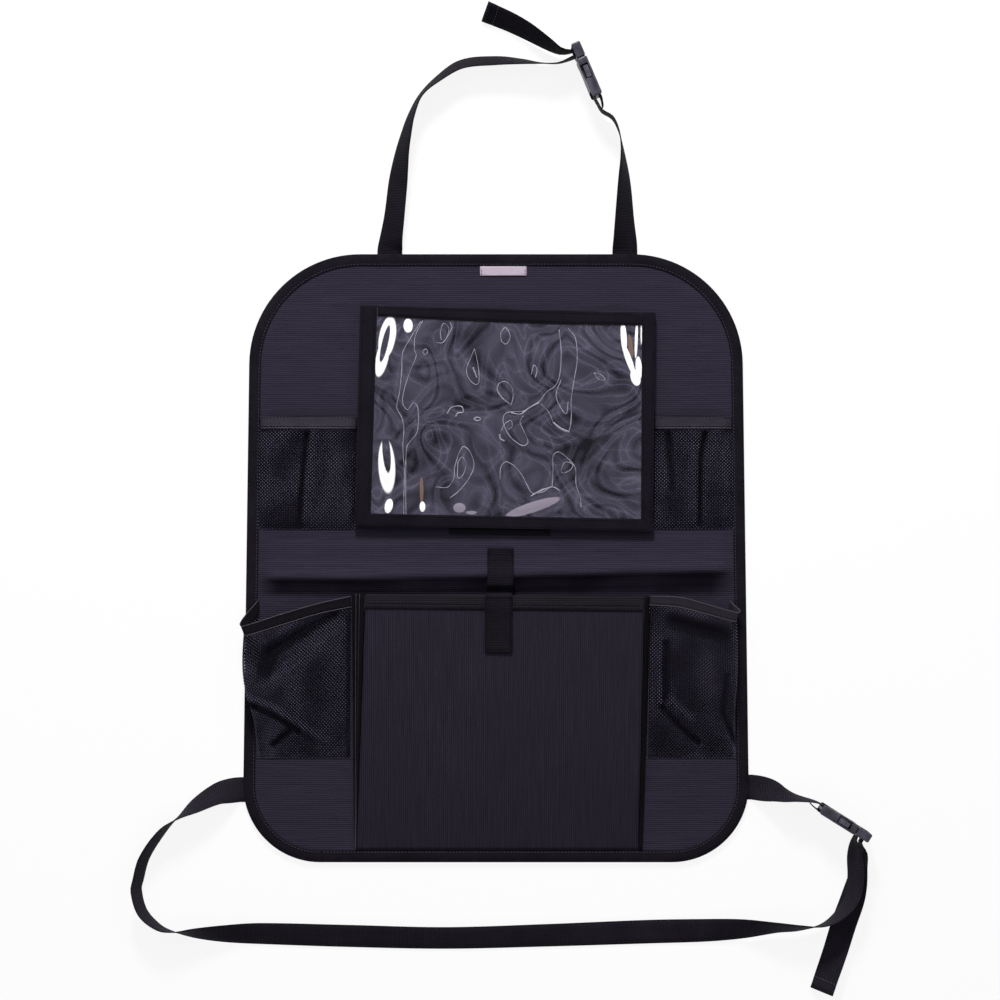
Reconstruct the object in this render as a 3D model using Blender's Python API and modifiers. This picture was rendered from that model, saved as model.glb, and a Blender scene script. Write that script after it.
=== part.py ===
"""A car seat-back protector: a bound textile mat with a tablet sleeve, five pockets and two buckled straps.

It lies on its back, +Z up and +Y towards the headrest strap. The origin is the centre of the mat's back face.
"""

import math

import bmesh
import bpy
from mathutils import Matrix, Vector

# The mat
PANEL_TOP_WIDTH = 0.491
PANEL_BOTTOM_WIDTH = 0.508
PANEL_HEIGHT = 0.6085
TOP_CORNER_RADIUS = 0.111
BOTTOM_CORNER_RADIUS = 0.077
PANEL_THICKNESS = 0.0028
PANEL_EDGE_THICKNESS = 0.0012
FIELD_MARGIN = 0.003
RIM_MARGIN = 0.0006
FOLD_Y = -0.012
FOLD_HEIGHT = 0.005
FOLD_UPPER_REACH = 0.012
FOLD_LOWER_REACH = 0.014
FOLD_END_REACH = 0.016
CORNER_STEPS = 7
PANEL_COLUMNS = (-1.0, -0.92, -0.6, -0.3, 0.0, 0.3, 0.6, 0.92, 1.0)
FOLD_ROWS_Y = (0.0, -0.004, -0.008, FOLD_Y, -0.016, -0.021, -0.026)
PANEL_ROWS_Y = (0.125, 0.060, *FOLD_ROWS_Y, -0.080, -0.155)

# Tape and cloth
TAPE_THICKNESS = 0.0006
BINDING_WIDTH = 0.012
BINDING_SLACK = 0.0006
BINDING_SOFT_EDGE = 0.0005
CLOTH_THICKNESS = 0.0008
SEAT_GAP = 0.0003
HEM_OVERLAP = 0.003
HEM_LAP = 2 * CLOTH_THICKNESS

# Tablet sleeve: outer and inner corners of its taped frame, top left, bottom left, bottom right, top right
SLEEVE_OUTER = ((-0.1355, 0.2525), (-0.1410, 0.0322), (0.1568, 0.0270), (0.1592, 0.2448))
SLEEVE_INNER = ((-0.1185, 0.2425), (-0.1250, 0.0448), (0.1446, 0.0393), (0.1458, 0.2320))
SLEEVE_DEPTH = 0.0065
SLEEVE_WALL = 0.0009
FRAME_TAPE_THICKNESS = 0.0008
FRAME_SOFT_EDGE = 0.0005
TOP_BAND_BACK_THICKNESS = 0.0005
TOP_BAND_DIP = 0.0018
TOP_BAND_STEPS = 8
FILM_THICKNESS = 0.0003
FILM_TOP_MARGIN = 0.0005
FILM_COLUMNS = 16
FILM_ROWS = 12
FILM_WAVE_HEIGHT = 0.0014
FILM_WAVE_EDGE = 0.020
LOWER_TAB_LENGTH = 0.101
LOWER_TAB_WIDTH = 0.0060
LOWER_TAB_CENTRE_X = 0.0040

# Label
LABEL_SIZE = (0.0466, 0.0094, 0.0005)
LABEL_CENTRE_X = 0.0073

# Upper net pockets
UPPER_POCKET_TOP = 0.1312
UPPER_POCKET_BOTTOM = 0.0300
UPPER_POCKET_DEPTH = 0.0068
UPPER_HEM_WIDTH = 0.011
UPPER_POCKET_SIDE_REACH = 0.010
UPPER_POCKET_FOOT_REACH = 0.020
UPPER_POCKET_ROWS = 13
UPPER_LEFT_COLUMNS = 13
UPPER_RIGHT_COLUMNS = 11
UPPER_SIDE_CROWDING = 0.06
UPPER_FOOT_CROWDING = 1.25

# Lower net pockets, from the sewn foot round the standing corner to the middle pocket. A mouth point is x, y,
# height and the hem's rise in x and y from there; the seam is where that line of the net meets the mat below.
LEFT_MOUTH = (
    (-0.2372, -0.0580, 0.0000, 0.0000, 0.0165),
    (-0.2478, -0.0690, 0.0100, -0.0030, 0.0110),
    (-0.2507, -0.0744, 0.0152, -0.0040, 0.0094),
    (-0.2492, -0.0769, 0.0167, -0.0034, 0.0094),
    (-0.2130, -0.0662, 0.0140, 0.0000, 0.0110),
    (-0.1760, -0.0552, 0.0100, 0.0000, 0.0105),
    (-0.1450, -0.0490, 0.0025, 0.0000, 0.0110),
)
LEFT_SEAM = (-0.2397, -0.2376, -0.2358, -0.2340, -0.2120, -0.1760, -0.1460)
LEFT_SPAN_CELLS = (2, 1, 1, 5, 5, 5)
LEFT_NET_SECTIONS = (3, 1, 15)
RIGHT_MOUTH = (
    (0.2345, -0.0580, 0.0000, -0.0010, 0.0155),
    (0.2385, -0.0600, 0.0070, 0.0030, 0.0100),
    (0.2395, -0.0614, 0.0102, 0.0038, 0.0094),
    (0.2383, -0.0632, 0.0117, 0.0030, 0.0090),
    (0.2140, -0.0568, 0.0120, 0.0000, 0.0100),
    (0.1830, -0.0488, 0.0105, 0.0000, 0.0100),
    (0.1535, -0.0468, 0.0050, 0.0000, 0.0090),
)
RIGHT_SEAM = (0.2397, 0.2379, 0.2362, 0.2344, 0.2140, 0.1830, 0.1520)
RIGHT_SPAN_CELLS = (1, 1, 1, 3, 4, 4)
RIGHT_NET_SECTIONS = (2, 1, 11)
LOWER_POCKET_BOTTOM = -0.1992
LOWER_POCKET_ROWS = 15
LOWER_POCKET_FULL_HEIGHT = 0.0165
LOWER_POCKET_BELLY = 0.3
LOWER_POCKET_SIDE_BULGE = 0.0058
LOWER_POCKET_SIDE_FROM = 0.225
LOWER_POCKET_SIDE_REACH = 0.020
LOWER_HEM_START = 0.07

# Folds in the nets: both ends of each ridge
CREASE_REACH = 0.013
CREASE_HEIGHT = 0.0024
CREASE_FADE_HEIGHT = 0.006
UPPER_LEFT_CREASES = (((-0.188, 0.1370), (-0.196, 0.0500)),)
UPPER_RIGHT_CREASES = (((0.2065, 0.1370), (0.2060, 0.0500)),)
LOWER_LEFT_CREASES = (((-0.250, -0.1387), (-0.176, -0.1827)),)
LOWER_RIGHT_CREASES = (((0.164, -0.0817), (0.166, -0.1417)), ((0.166, -0.1417), (0.204, -0.1820)))

# Middle pocket
CENTRE_POCKET_TOP_LEFT = (-0.1295, -0.0352)
CENTRE_POCKET_TOP_RIGHT = (0.1476, -0.0380)
CENTRE_POCKET_BOTTOM_LEFT_X = -0.1390
CENTRE_POCKET_BOTTOM_RIGHT_X = 0.1420
CENTRE_POCKET_DEPTH = 0.0125
CENTRE_POCKET_FOOT_LIFT = 0.0002
CENTRE_POCKET_BULGE = 0.0022
CENTRE_POCKET_GRID = 12
CENTRE_HEM_WIDTH = 0.0140
LEFT_GUSSET_SPREAD = (0.0140, 0.0022)
RIGHT_GUSSET_SPREAD = (0.0060, 0.0040)
GUSSET_ROWS = 9
GUSSET_PLEAT = (0.45, 0.40)
GUSSET_TOP_REACH = 0.06
GUSSET_TOP_SHARE = 0.96

# Closure strap
CLOSURE_CENTRE_X = 0.0045
CLOSURE_WIDTH = 0.0262
CLOSURE_THICKNESS = 0.0014
CLOSURE_TOP_Y = 0.0102
CLOSURE_END_Y = -0.0922
CLOSURE_SLACK = 0.0006
CLOSURE_DIP = (-0.0262, 0.0045)
CLOSURE_RISE_Y = -0.0335
CLOSURE_RISE_DROP = 0.0012
CLOSURE_OVER_Y = -0.0400
CLOSURE_SHIFT = -0.0020
CLOSURE_SHIFT_FROM = -0.020
CLOSURE_SHIFT_REACH = 0.030
CLOSURE_FRONT_STEPS = 4

# Webbing
WEBBING_WIDTH = 0.025
WEBBING_THICKNESS = 0.0012
STRAP_SEWN_LENGTH = 0.012
STRAP_STRAIGHT_LENGTH = 0.003
RECESS_CLEARANCE = 0.0004
STRAP_STEP = 0.011
TOP_STRAP_LEFT_X = -0.1063
TOP_STRAP_RIGHT_X = 0.1290
SIDE_STRAP_LEFT_Y = -0.2317
SIDE_STRAP_RIGHT_Y = -0.2292
HEM_FOLD_LENGTH = 0.012
HEM_FOLD_THICKNESS = 0.0030

# Side-release buckles, along X from the plug's end. The plug's outlines are plan points of half its width.
BUCKLE_WIDTH = 0.031
BUCKLE_THICKNESS = 0.0104
BUCKLE_SLOT_WIDTH = 0.026
BUCKLE_BAR = 0.0030
BUCKLE_SLOT_LENGTH = 0.0035
PLUG_BASE_LENGTH = 0.0152
PLUG_BASE_THICKNESS = 0.0092
PLUG_BASE_ROUNDING = 0.0014
PLUG_BAR_CENTRE = 0.0080
PLUG_ARM_THICKNESS = 0.0048
PLUG_ARM_ROOT = PLUG_BASE_LENGTH - 0.001
PLUG_TONGUE = ((PLUG_ARM_ROOT, 0.0030), (0.0330, 0.0022), (0.0350, 0.0))
PLUG_ARM = (
    (PLUG_ARM_ROOT, 0.0062), (0.0215, 0.0070), (0.0310, 0.0092), (0.0375, 0.0080), (0.0385, 0.0098),
    (0.0365, 0.0134), (0.0300, 0.0151), (0.0248, 0.0147), (0.0236, 0.0104), (PLUG_ARM_ROOT, 0.0096),
)
SOCKET_START = 0.0156
SOCKET_END = 0.0566
SOCKET_ROUNDING = 0.0020
SOCKET_CAVITY_END = 0.0430
SOCKET_CAVITY_WIDTH = 0.0266
SOCKET_CAVITY_HEIGHT = 0.0062
SOCKET_WINDOW = (0.0230, 0.0378)
SOCKET_WINDOW_DEPTH = 0.0046
CUT_MARGIN = 0.0020
TOP_BUCKLE_PLUG_END = (0.0785, 0.5118)
TOP_BUCKLE_DIRECTION = (0.394, -0.919)
LOWER_BUCKLE_PLUG_END = (0.3710, -0.2778)
LOWER_BUCKLE_DIRECTION = (-0.848, 0.530)

PANEL_TOP = PANEL_THICKNESS
SEWN_Z = PANEL_TOP + SEAT_GAP
POCKET_BASE = SEWN_Z + CLOTH_THICKNESS
BINDING_HEIGHT = PANEL_EDGE_THICKNESS + 2 * (TAPE_THICKNESS + SEAT_GAP) + BINDING_SLACK
BUCKLE_REST = (BUCKLE_WIDTH - WEBBING_WIDTH) / 2
WEBBING_TURN_RADIUS = BUCKLE_BAR / 2 + BUCKLE_SLOT_LENGTH / 2
SOCKET_BAR_CENTRE = SOCKET_END - BUCKLE_BAR / 2


def clear_scene():
    for obj in list(bpy.data.objects):
        bpy.data.objects.remove(obj, do_unlink=True)


def new_collection(name):
    collection = bpy.data.collections.new(name)
    bpy.context.scene.collection.children.link(collection)
    return collection


def new_material(name, colour, roughness, transmission=0.0):
    material = bpy.data.materials.new(name)
    material.use_nodes = True
    shader = material.node_tree.nodes["Principled BSDF"]
    shader.inputs["Base Color"].default_value = (*colour, 1.0)
    shader.inputs["Roughness"].default_value = roughness
    shader.inputs["Transmission Weight"].default_value = transmission
    return material


def add_object(name, builder, material, collection):
    mesh = bpy.data.meshes.new(name)
    bmesh.ops.recalc_face_normals(builder, faces=builder.faces)
    builder.to_mesh(mesh)
    builder.free()
    if material:
        mesh.materials.append(material)
    obj = bpy.data.objects.new(name, mesh)
    collection.objects.link(obj)
    return obj


def shade_round(obj, angle=math.radians(35)):
    obj.data.shade_smooth()
    obj.data.set_sharp_from_angle(angle=angle)


def loft(name, sections, material, collection, cyclic=False, centre_line=()):
    """A closed solid through like sections: a ring of sections, or a run of them with a cap at each end.

    Sides beside a section point listed in centre_line are cut into triangles alike on both faces, so that the
    faces of a thin twisted strip never cross.
    """
    builder = bmesh.new()
    rings = [[builder.verts.new(point) for point in section] for section in sections]
    pairs = list(zip(rings, rings[1:]))
    if cyclic:
        pairs.append((rings[-1], rings[0]))
    size = len(rings[0])
    for first, second in pairs:
        for i in range(size):
            a, b = (i - 1) % size, i
            if b in centre_line:
                builder.faces.new((first[a], first[b], second[b]))
                builder.faces.new((first[a], second[b], second[a]))
            elif a in centre_line:
                builder.faces.new((first[a], first[b], second[a]))
                builder.faces.new((first[b], second[b], second[a]))
            else:
                builder.faces.new((first[a], first[b], second[b], second[a]))
    if not cyclic:
        builder.faces.new(rings[0][::-1])
        builder.faces.new(rings[-1])
    return add_object(name, builder, material, collection)


def cloth(name, rows, thickness, material, collection, outward=(0, 0, 1), open_cells=()):
    """A sheet through rows of points, its thickness on the side away from `outward`, with some cells open."""
    builder = bmesh.new()
    grid = [[builder.verts.new(point) for point in row] for row in rows]
    for j, (upper, lower) in enumerate(zip(grid, grid[1:])):
        for i in range(len(upper) - 1):
            if (i, j) not in open_cells:
                builder.faces.new((upper[i], lower[i], lower[i + 1]))
                builder.faces.new((upper[i], lower[i + 1], upper[i + 1]))
    obj = add_object(name, builder, material, collection)
    facing = sum((face.normal * face.area for face in obj.data.polygons), Vector())
    if facing.dot(Vector(outward)) < 0:
        obj.data.flip_normals()
    solid = obj.modifiers.new("thickness", "SOLIDIFY")
    solid.thickness = thickness
    solid.offset = -1.0
    shade_round(obj)
    return obj


def net_grid(surface, sections, rows):
    """Points of a net over surface(u, v), and its open cells: every second one each way, made a diamond.

    The columns come in sections with straight lines between them, and only an odd section has open cells.
    """
    eighth_turn = Matrix.Rotation(math.pi / 4, 2)
    columns = sum(sections)
    spots = {(i, j): Vector((i, j)) for i in range(columns + 1) for j in range(rows + 1)}
    open_cells = set()
    start = 0
    for size in sections:
        if size % 2:
            open_cells |= {(start + i, j) for i in range(1, size - 1, 2) for j in range(1, rows - 1, 2)}
        start += size
    for i, j in open_cells:
        middle = Vector((i + 0.5, j + 0.5))
        for corner in ((i, j), (i + 1, j), (i, j + 1), (i + 1, j + 1)):
            spots[corner] = middle + eighth_turn @ (Vector(corner) - middle)
    points = [[] for _ in range(rows + 1)]
    for (_, j), spot in spots.items():
        points[j].append(surface(spot.x / columns, spot.y / rows))
    return points, open_cells


def box(name, low, high, collection, rounding=0.0, material=None):
    """A box between two corners, with rounded edges if asked."""
    builder = bmesh.new()
    bmesh.ops.create_cube(builder, size=1.0)
    low, high = Vector(low), Vector(high)
    bmesh.ops.scale(builder, vec=high - low, verts=builder.verts)
    bmesh.ops.translate(builder, vec=(low + high) / 2, verts=builder.verts)
    obj = add_object(name, builder, material, collection)
    if rounding:
        bevel = obj.modifiers.new("rounded", "BEVEL")
        bevel.width = rounding
        bevel.segments = 2
    return obj


def prism(name, outline, low_z, high_z, collection, material=None):
    """A straight prism over a plan outline."""
    sections = [[(x, y, z) for x, y in outline] for z in (low_z, high_z)]
    return loft(name, sections, material, collection)


def combine(obj, other, operation):
    """Adds a Boolean with another object, which is left out of the model."""
    other.hide_render = True
    other.display_type = "WIRE"
    boolean = obj.modifiers.new(other.name, "BOOLEAN")
    boolean.operation = operation
    boolean.object = other


def lerp(a, b, share):
    return tuple(p + (q - p) * share for p, q in zip(a, b))


def ramp(distance, reach):
    """0 at an edge, 1 past the reach, smooth where it levels out."""
    return math.sin(min(max(distance / reach, 0.0), 1.0) * math.pi / 2)


def crease_lift(x, y, creases):
    """Height that the folds in a net add at a plan point."""
    lift = 0.0
    for start, end in creases:
        start, end = Vector(start), Vector(end)
        along = end - start
        share = min(max((Vector((x, y)) - start).dot(along) / along.length_squared, 0.0), 1.0)
        away = (Vector((x, y)) - start - along * share).length
        lift = max(lift, CREASE_HEIGHT * (1 - min(away / CREASE_REACH, 1.0)))
    return lift


def smooth_route(points, cells=None, step=None):
    """Stations on a smooth curve through points of any number of values, x and y first.

    cells gives the number of stations for each span; without it they come about a step apart.
    """
    lengths = [0.0]
    for a, b in zip(points, points[1:]):
        lengths.append(lengths[-1] + math.dist(a[:2], b[:2]))
    slopes = []
    for i in range(len(points)):
        low, high = max(i - 1, 0), min(i + 1, len(points) - 1)
        span = lengths[high] - lengths[low]
        slopes.append([(q - p) / span for p, q in zip(points[low], points[high])])
    stations = []
    for i in range(len(points) - 1):
        span = lengths[i + 1] - lengths[i]
        count = cells[i] if cells else max(1, round(span / step))
        for k in range(count):
            t = k / count
            h = (2 * t**3 - 3 * t**2 + 1, t**3 - 2 * t**2 + t, 3 * t**2 - 2 * t**3, t**3 - t**2)
            stations.append([
                h[0] * p + h[1] * span * m + h[2] * q + h[3] * span * n
                for p, m, q, n in zip(points[i], slopes[i], points[i + 1], slopes[i + 1])
            ])
    stations.append(list(points[-1]))
    return stations


def panel_corner_centres():
    """The lean of the mat's right side, and its outer corner arcs, top then bottom, as x, y and radius."""
    taper = math.atan2((PANEL_BOTTOM_WIDTH - PANEL_TOP_WIDTH) / 2, PANEL_HEIGHT)
    found = []
    for width, y, radius, way in (
        (PANEL_TOP_WIDTH, PANEL_HEIGHT / 2, TOP_CORNER_RADIUS, -1),
        (PANEL_BOTTOM_WIDTH, -PANEL_HEIGHT / 2, BOTTOM_CORNER_RADIUS, 1),
    ):
        across = radius * (1 + way * math.sin(taper)) / math.cos(taper)
        found.append((width / 2 - across, y + way * radius, radius))
    return taper, found


def panel_right_side():
    """Points down the mat's right side with their outward directions, from the end of the top edge."""
    taper, (top, bottom) = panel_corner_centres()

    def arc(corner, start, end):
        x, y, radius = corner
        for k in range(CORNER_STEPS + 1):
            angle = start + (end - start) * k / CORNER_STEPS
            out = Vector((math.cos(angle), math.sin(angle)))
            yield Vector((x, y)) + out * radius, out

    upper = list(arc(top, math.pi / 2, taper))
    last, out = upper[-1]
    straight = [(Vector((last.x + (last.y - y) * math.tan(taper), y)), out) for y in PANEL_ROWS_Y]
    return upper + straight + list(arc(bottom, taper, -math.pi / 2))


def panel_edge(inset):
    """The mat's closed outline, moved in by inset: left side up, top, right side down, bottom."""
    right = [point - out * inset for point, out in panel_right_side()]
    left = [Vector((-point.x, point.y)) for point in right]
    top = [Vector((right[0].x * share, right[0].y)) for share in PANEL_COLUMNS[1:-1]]
    bottom = [Vector((right[-1].x * -share, right[-1].y)) for share in PANEL_COLUMNS[1:-1]]
    return left[::-1] + top + right + bottom


def panel_half_width(y, inset=0.0):
    """Half the mat's width on its straight sides."""
    share = (PANEL_HEIGHT / 2 - y) / PANEL_HEIGHT
    return (PANEL_TOP_WIDTH + (PANEL_BOTTOM_WIDTH - PANEL_TOP_WIDTH) * share) / 2 - inset


def fold_lift(x, y):
    """Height of the packing fold across the mat, gone at the binding."""
    reach = FOLD_UPPER_REACH if y > FOLD_Y else FOLD_LOWER_REACH
    share = 1 - min(abs(y - FOLD_Y) / reach, 1.0)
    from_edge = panel_half_width(y, BINDING_WIDTH + FIELD_MARGIN) - abs(x)
    return FOLD_HEIGHT * share**1.5 * ramp(from_edge, FOLD_END_REACH)


def build_panel(material, collection):
    """The padded mat: a thin rim for the binding, a full-thickness field and the fold across it."""
    rim_low = (BINDING_HEIGHT - PANEL_EDGE_THICKNESS) / 2
    rim_high = rim_low + PANEL_EDGE_THICKNESS
    rim_insets = (BINDING_WIDTH + RIM_MARGIN, TAPE_THICKNESS + SEAT_GAP)
    field_side = [point - out * (BINDING_WIDTH + FIELD_MARGIN) for point, out in panel_right_side()]
    builder = bmesh.new()
    edges = []
    for face_height, rim_height in ((PANEL_TOP, rim_high), (0.0, rim_low)):
        rows = []
        for point in field_side:
            y = point.y
            across = [point.x * share for share in PANEL_COLUMNS]
            rows.append([builder.verts.new((x, y, face_height + fold_lift(x, y))) for x in across])
        for upper, lower in zip(rows, rows[1:]):
            for i in range(len(upper) - 1):
                builder.faces.new((upper[i], lower[i], lower[i + 1], upper[i + 1]))
        loop = [row[0] for row in rows[::-1]] + rows[0][1:-1] + [row[-1] for row in rows] + rows[-1][-2:0:-1]
        for inset in rim_insets:
            outer = [builder.verts.new((point.x, point.y, rim_height)) for point in panel_edge(inset)]
            for i in range(len(loop)):
                builder.faces.new((loop[i - 1], loop[i], outer[i], outer[i - 1]))
            loop = outer
        edges.append(loop)
    front, back = edges
    for i in range(len(front)):
        builder.faces.new((front[i - 1], front[i], back[i], back[i - 1]))
    panel = add_object("back_panel", builder, material, collection)
    shade_round(panel)
    return panel


def build_binding(material, collection):
    """Tape folded round the mat's edge: a front leg, a back leg and the fold between them."""
    wide, high, tape, soft = BINDING_WIDTH, BINDING_HEIGHT, TAPE_THICKNESS, BINDING_SOFT_EDGE
    profile = (
        (wide, 0.0), (soft, 0.0), (0.0, soft), (0.0, high - soft), (soft, high), (wide, high),
        (wide, high - tape), (tape, high - tape), (tape, tape), (wide, tape),
    )
    edges = [panel_edge(inset) for inset, _ in profile]
    sections = [
        [(edge[i].x, edge[i].y, z) for edge, (_, z) in zip(edges, profile)] for i in range(len(edges[0]))
    ]
    binding = loft("edge_binding", sections, material, collection, cyclic=True)
    shade_round(binding)
    return binding


def cut_strap_recesses(pieces, cutters):
    """Room for the sewn strap ends under the mat's edge, so that the mat still lies flat."""
    reach = STRAP_SEWN_LENGTH + RECESS_CLEARANCE
    half = WEBBING_WIDTH / 2 + RECESS_CLEARANCE
    high = WEBBING_THICKNESS + SEAT_GAP
    top = PANEL_HEIGHT / 2
    left = -panel_half_width(SIDE_STRAP_LEFT_Y)
    right = panel_half_width(SIDE_STRAP_RIGHT_Y)
    spots = (
        ("top_left", TOP_STRAP_LEFT_X - half, top - reach, TOP_STRAP_LEFT_X + half, top + reach),
        ("top_right", TOP_STRAP_RIGHT_X - half, top - reach, TOP_STRAP_RIGHT_X + half, top + reach),
        ("left", left - reach, SIDE_STRAP_LEFT_Y - half, left + reach, SIDE_STRAP_LEFT_Y + half),
        ("right", right - reach, SIDE_STRAP_RIGHT_Y - half, right + reach, SIDE_STRAP_RIGHT_Y + half),
    )
    for name, x0, y0, x1, y1 in spots:
        cutter = box(f"recess_{name}", (x0, y0, -high), (x1, y1, high), cutters)
        for piece in pieces:
            combine(piece, cutter, "DIFFERENCE")


def build_label(material, collection):
    width, height, thickness = LABEL_SIZE
    top = PANEL_HEIGHT / 2 - BINDING_WIDTH - SEAT_GAP
    low = (LABEL_CENTRE_X - width / 2, top - height, SEWN_Z)
    high = (LABEL_CENTRE_X + width / 2, top, SEWN_Z + thickness)
    return box("label", low, high, collection, material=material)


def sleeve_levels():
    """Heights in the tablet sleeve: film underside, film top, frame tape underside, frame tape top."""
    film_low = PANEL_TOP + SLEEVE_DEPTH
    film_high = film_low + FILM_THICKNESS
    tape_low = film_high + SEAT_GAP
    return film_low, film_high, tape_low, tape_low + FRAME_TAPE_THICKNESS


def build_window_frame(material, collection):
    """The tape frame that stands on the mat round three sides of the sleeve, with mitred corners."""
    _, _, tape_low, tape_high = sleeve_levels()
    sections = []
    for k, (outer, inner) in enumerate(zip(SLEEVE_OUTER, SLEEVE_INNER)):
        if k in (0, 3):
            inner = (inner[0], outer[1])
        wall = SLEEVE_WALL / math.dist(outer, inner)
        profile = (
            (0.0, SEWN_Z), (0.0, tape_high - FRAME_SOFT_EDGE), (wall / 2, tape_high), (1.0, tape_high),
            (1.0, tape_low), (wall, tape_low), (wall, SEWN_Z),
        )
        sections.append([(*lerp(outer, inner, share), z) for share, z in profile])
    shade_round(loft("window_frame_binding", sections, material, collection))


def build_window_band(material, collection):
    """The tape folded over the film along the sleeve's open mouth, sagging a little in its middle."""
    film_low, _, tape_low, tape_high = sleeve_levels()
    fold_low = film_low - SEAT_GAP
    back_low = fold_low - TOP_BAND_BACK_THICKNESS
    outer_line = (SLEEVE_OUTER[0], SLEEVE_OUTER[3])
    inner_line = (SLEEVE_INNER[0], SLEEVE_INNER[3])
    width = outer_line[1][0] - outer_line[0][0]
    start = (inner_line[0][0] - outer_line[0][0] + SEAT_GAP) / width
    end = 1 - (outer_line[1][0] - inner_line[1][0] + SEAT_GAP) / width
    sections = []
    for k in range(TOP_BAND_STEPS + 1):
        along = k / TOP_BAND_STEPS
        share = start + (end - start) * along
        outer = lerp(*outer_line, share)
        inner = (outer[0], lerp(*inner_line, share)[1] - TOP_BAND_DIP * math.sin(math.pi * along))
        wall = SLEEVE_WALL / (outer[1] - inner[1])
        profile = (
            (0.0, back_low), (0.0, tape_high - FRAME_SOFT_EDGE), (wall / 2, tape_high), (1.0, tape_high),
            (1.0, tape_low), (wall, tape_low), (wall, fold_low), (1.0, fold_low), (1.0, back_low),
        )
        sections.append([(*lerp(outer, inner, share), z) for share, z in profile])
    shade_round(loft("window_top_band", sections, material, collection))


def film_wave(u, v):
    """Slack of the clear sheet: long soft waves, one way across and one along a diagonal."""
    first = math.sin(2 * math.pi * (1.3 * u + 0.55 * v + 0.1))
    second = math.sin(2 * math.pi * (0.7 * u - 1.4 * v + 0.35))
    return FILM_WAVE_HEIGHT * (0.6 * first + 0.4 * second)


def build_window_film(material, collection):
    """The clear sheet of the sleeve, under the frame's tape and inside its walls."""
    film_high = sleeve_levels()[1]
    margin = SLEEVE_WALL + SEAT_GAP
    top_margin = margin + FILM_TOP_MARGIN
    (x0, y0), (x1, y1), (x2, y2), (x3, y3) = SLEEVE_OUTER
    top_left, low_left = (x0 + margin, y0 - top_margin), (x1 + margin, y1 + margin)
    low_right, top_right = (x2 - margin, y2 + margin), (x3 - margin, y3 - top_margin)
    inner_x, inner_y = zip(*SLEEVE_INNER)
    left, right, low = max(inner_x[:2]), min(inner_x[2:]), max(inner_y[1:3])
    top = min(inner_y[0], inner_y[3]) - TOP_BAND_DIP
    rows = []
    for j in range(FILM_ROWS + 1):
        v = j / FILM_ROWS
        row = []
        for i in range(FILM_COLUMNS + 1):
            u = i / FILM_COLUMNS
            x, y = lerp(lerp(top_left, low_left, v), lerp(top_right, low_right, v), u)
            inside = min(x - left, right - x, y - low, top - y) - HEM_OVERLAP
            row.append((x, y, film_high + film_wave(u, v) * ramp(inside, FILM_WAVE_EDGE)))
        rows.append(row)
    cloth("window_film", rows, FILM_THICKNESS, material, collection)


def build_window_tab(material, collection):
    """The short strip sewn to the mat just below the sleeve."""
    low_left, low_right = Vector(SLEEVE_OUTER[1]), Vector(SLEEVE_OUTER[2])
    along = (low_right - low_left).normalized()
    down = Vector((along.y, -along.x))
    middle = low_left + along * ((LOWER_TAB_CENTRE_X - low_left.x) / along.x)
    left, right = (middle + along * (side * LOWER_TAB_LENGTH / 2) + down * SEAT_GAP for side in (-1, 1))
    outline = (left, left + down * LOWER_TAB_WIDTH, right + down * LOWER_TAB_WIDTH, right)
    prism("window_lower_tab", outline, SEWN_Z, SEWN_Z + CLOTH_THICKNESS, collection, material)


def flat_pocket(name, corners, columns, creases, net_material, hem_material, collection):
    """A shallow net pocket sewn down on three sides, with a tape over the edge of its mouth."""
    top_left, top_right, low_right, low_left = corners
    width = top_right[0] - top_left[0]
    height = top_left[1] - low_left[1]

    def crowded(u):
        return u - UPPER_SIDE_CROWDING * math.sin(2 * math.pi * u)

    def raised(x, y, u, fall=1.0):
        share = ramp(min(u, 1 - u) * width, UPPER_POCKET_SIDE_REACH) * fall
        return POCKET_BASE + share * (UPPER_POCKET_DEPTH + crease_lift(x, y, creases))

    def surface(u, v):
        u = crowded(u)
        v = 1 - (1 - v) ** UPPER_FOOT_CROWDING
        x, y = lerp(lerp(top_left, low_left, v), lerp(top_right, low_right, v), u)
        return x, y, raised(x, y, u, ramp((1 - v) * height, UPPER_POCKET_FOOT_REACH))

    rows, open_cells = net_grid(surface, (columns,), UPPER_POCKET_ROWS)
    cloth(name, rows, CLOTH_THICKNESS, net_material, collection, open_cells=open_cells)
    upper, lower = UPPER_HEM_WIDTH - HEM_OVERLAP, -HEM_OVERLAP
    rows = []
    for shift in (upper, (upper + lower) / 2, lower):
        row = []
        for i in range(columns + 1):
            u = crowded(i / columns)
            x, y = lerp(top_left, top_right, u)
            row.append((x, y + shift, raised(x, y + shift, u) + HEM_LAP))
        rows.append(row)
    cloth(f"{name}_hem", rows, CLOTH_THICKNESS, hem_material, collection)


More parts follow.
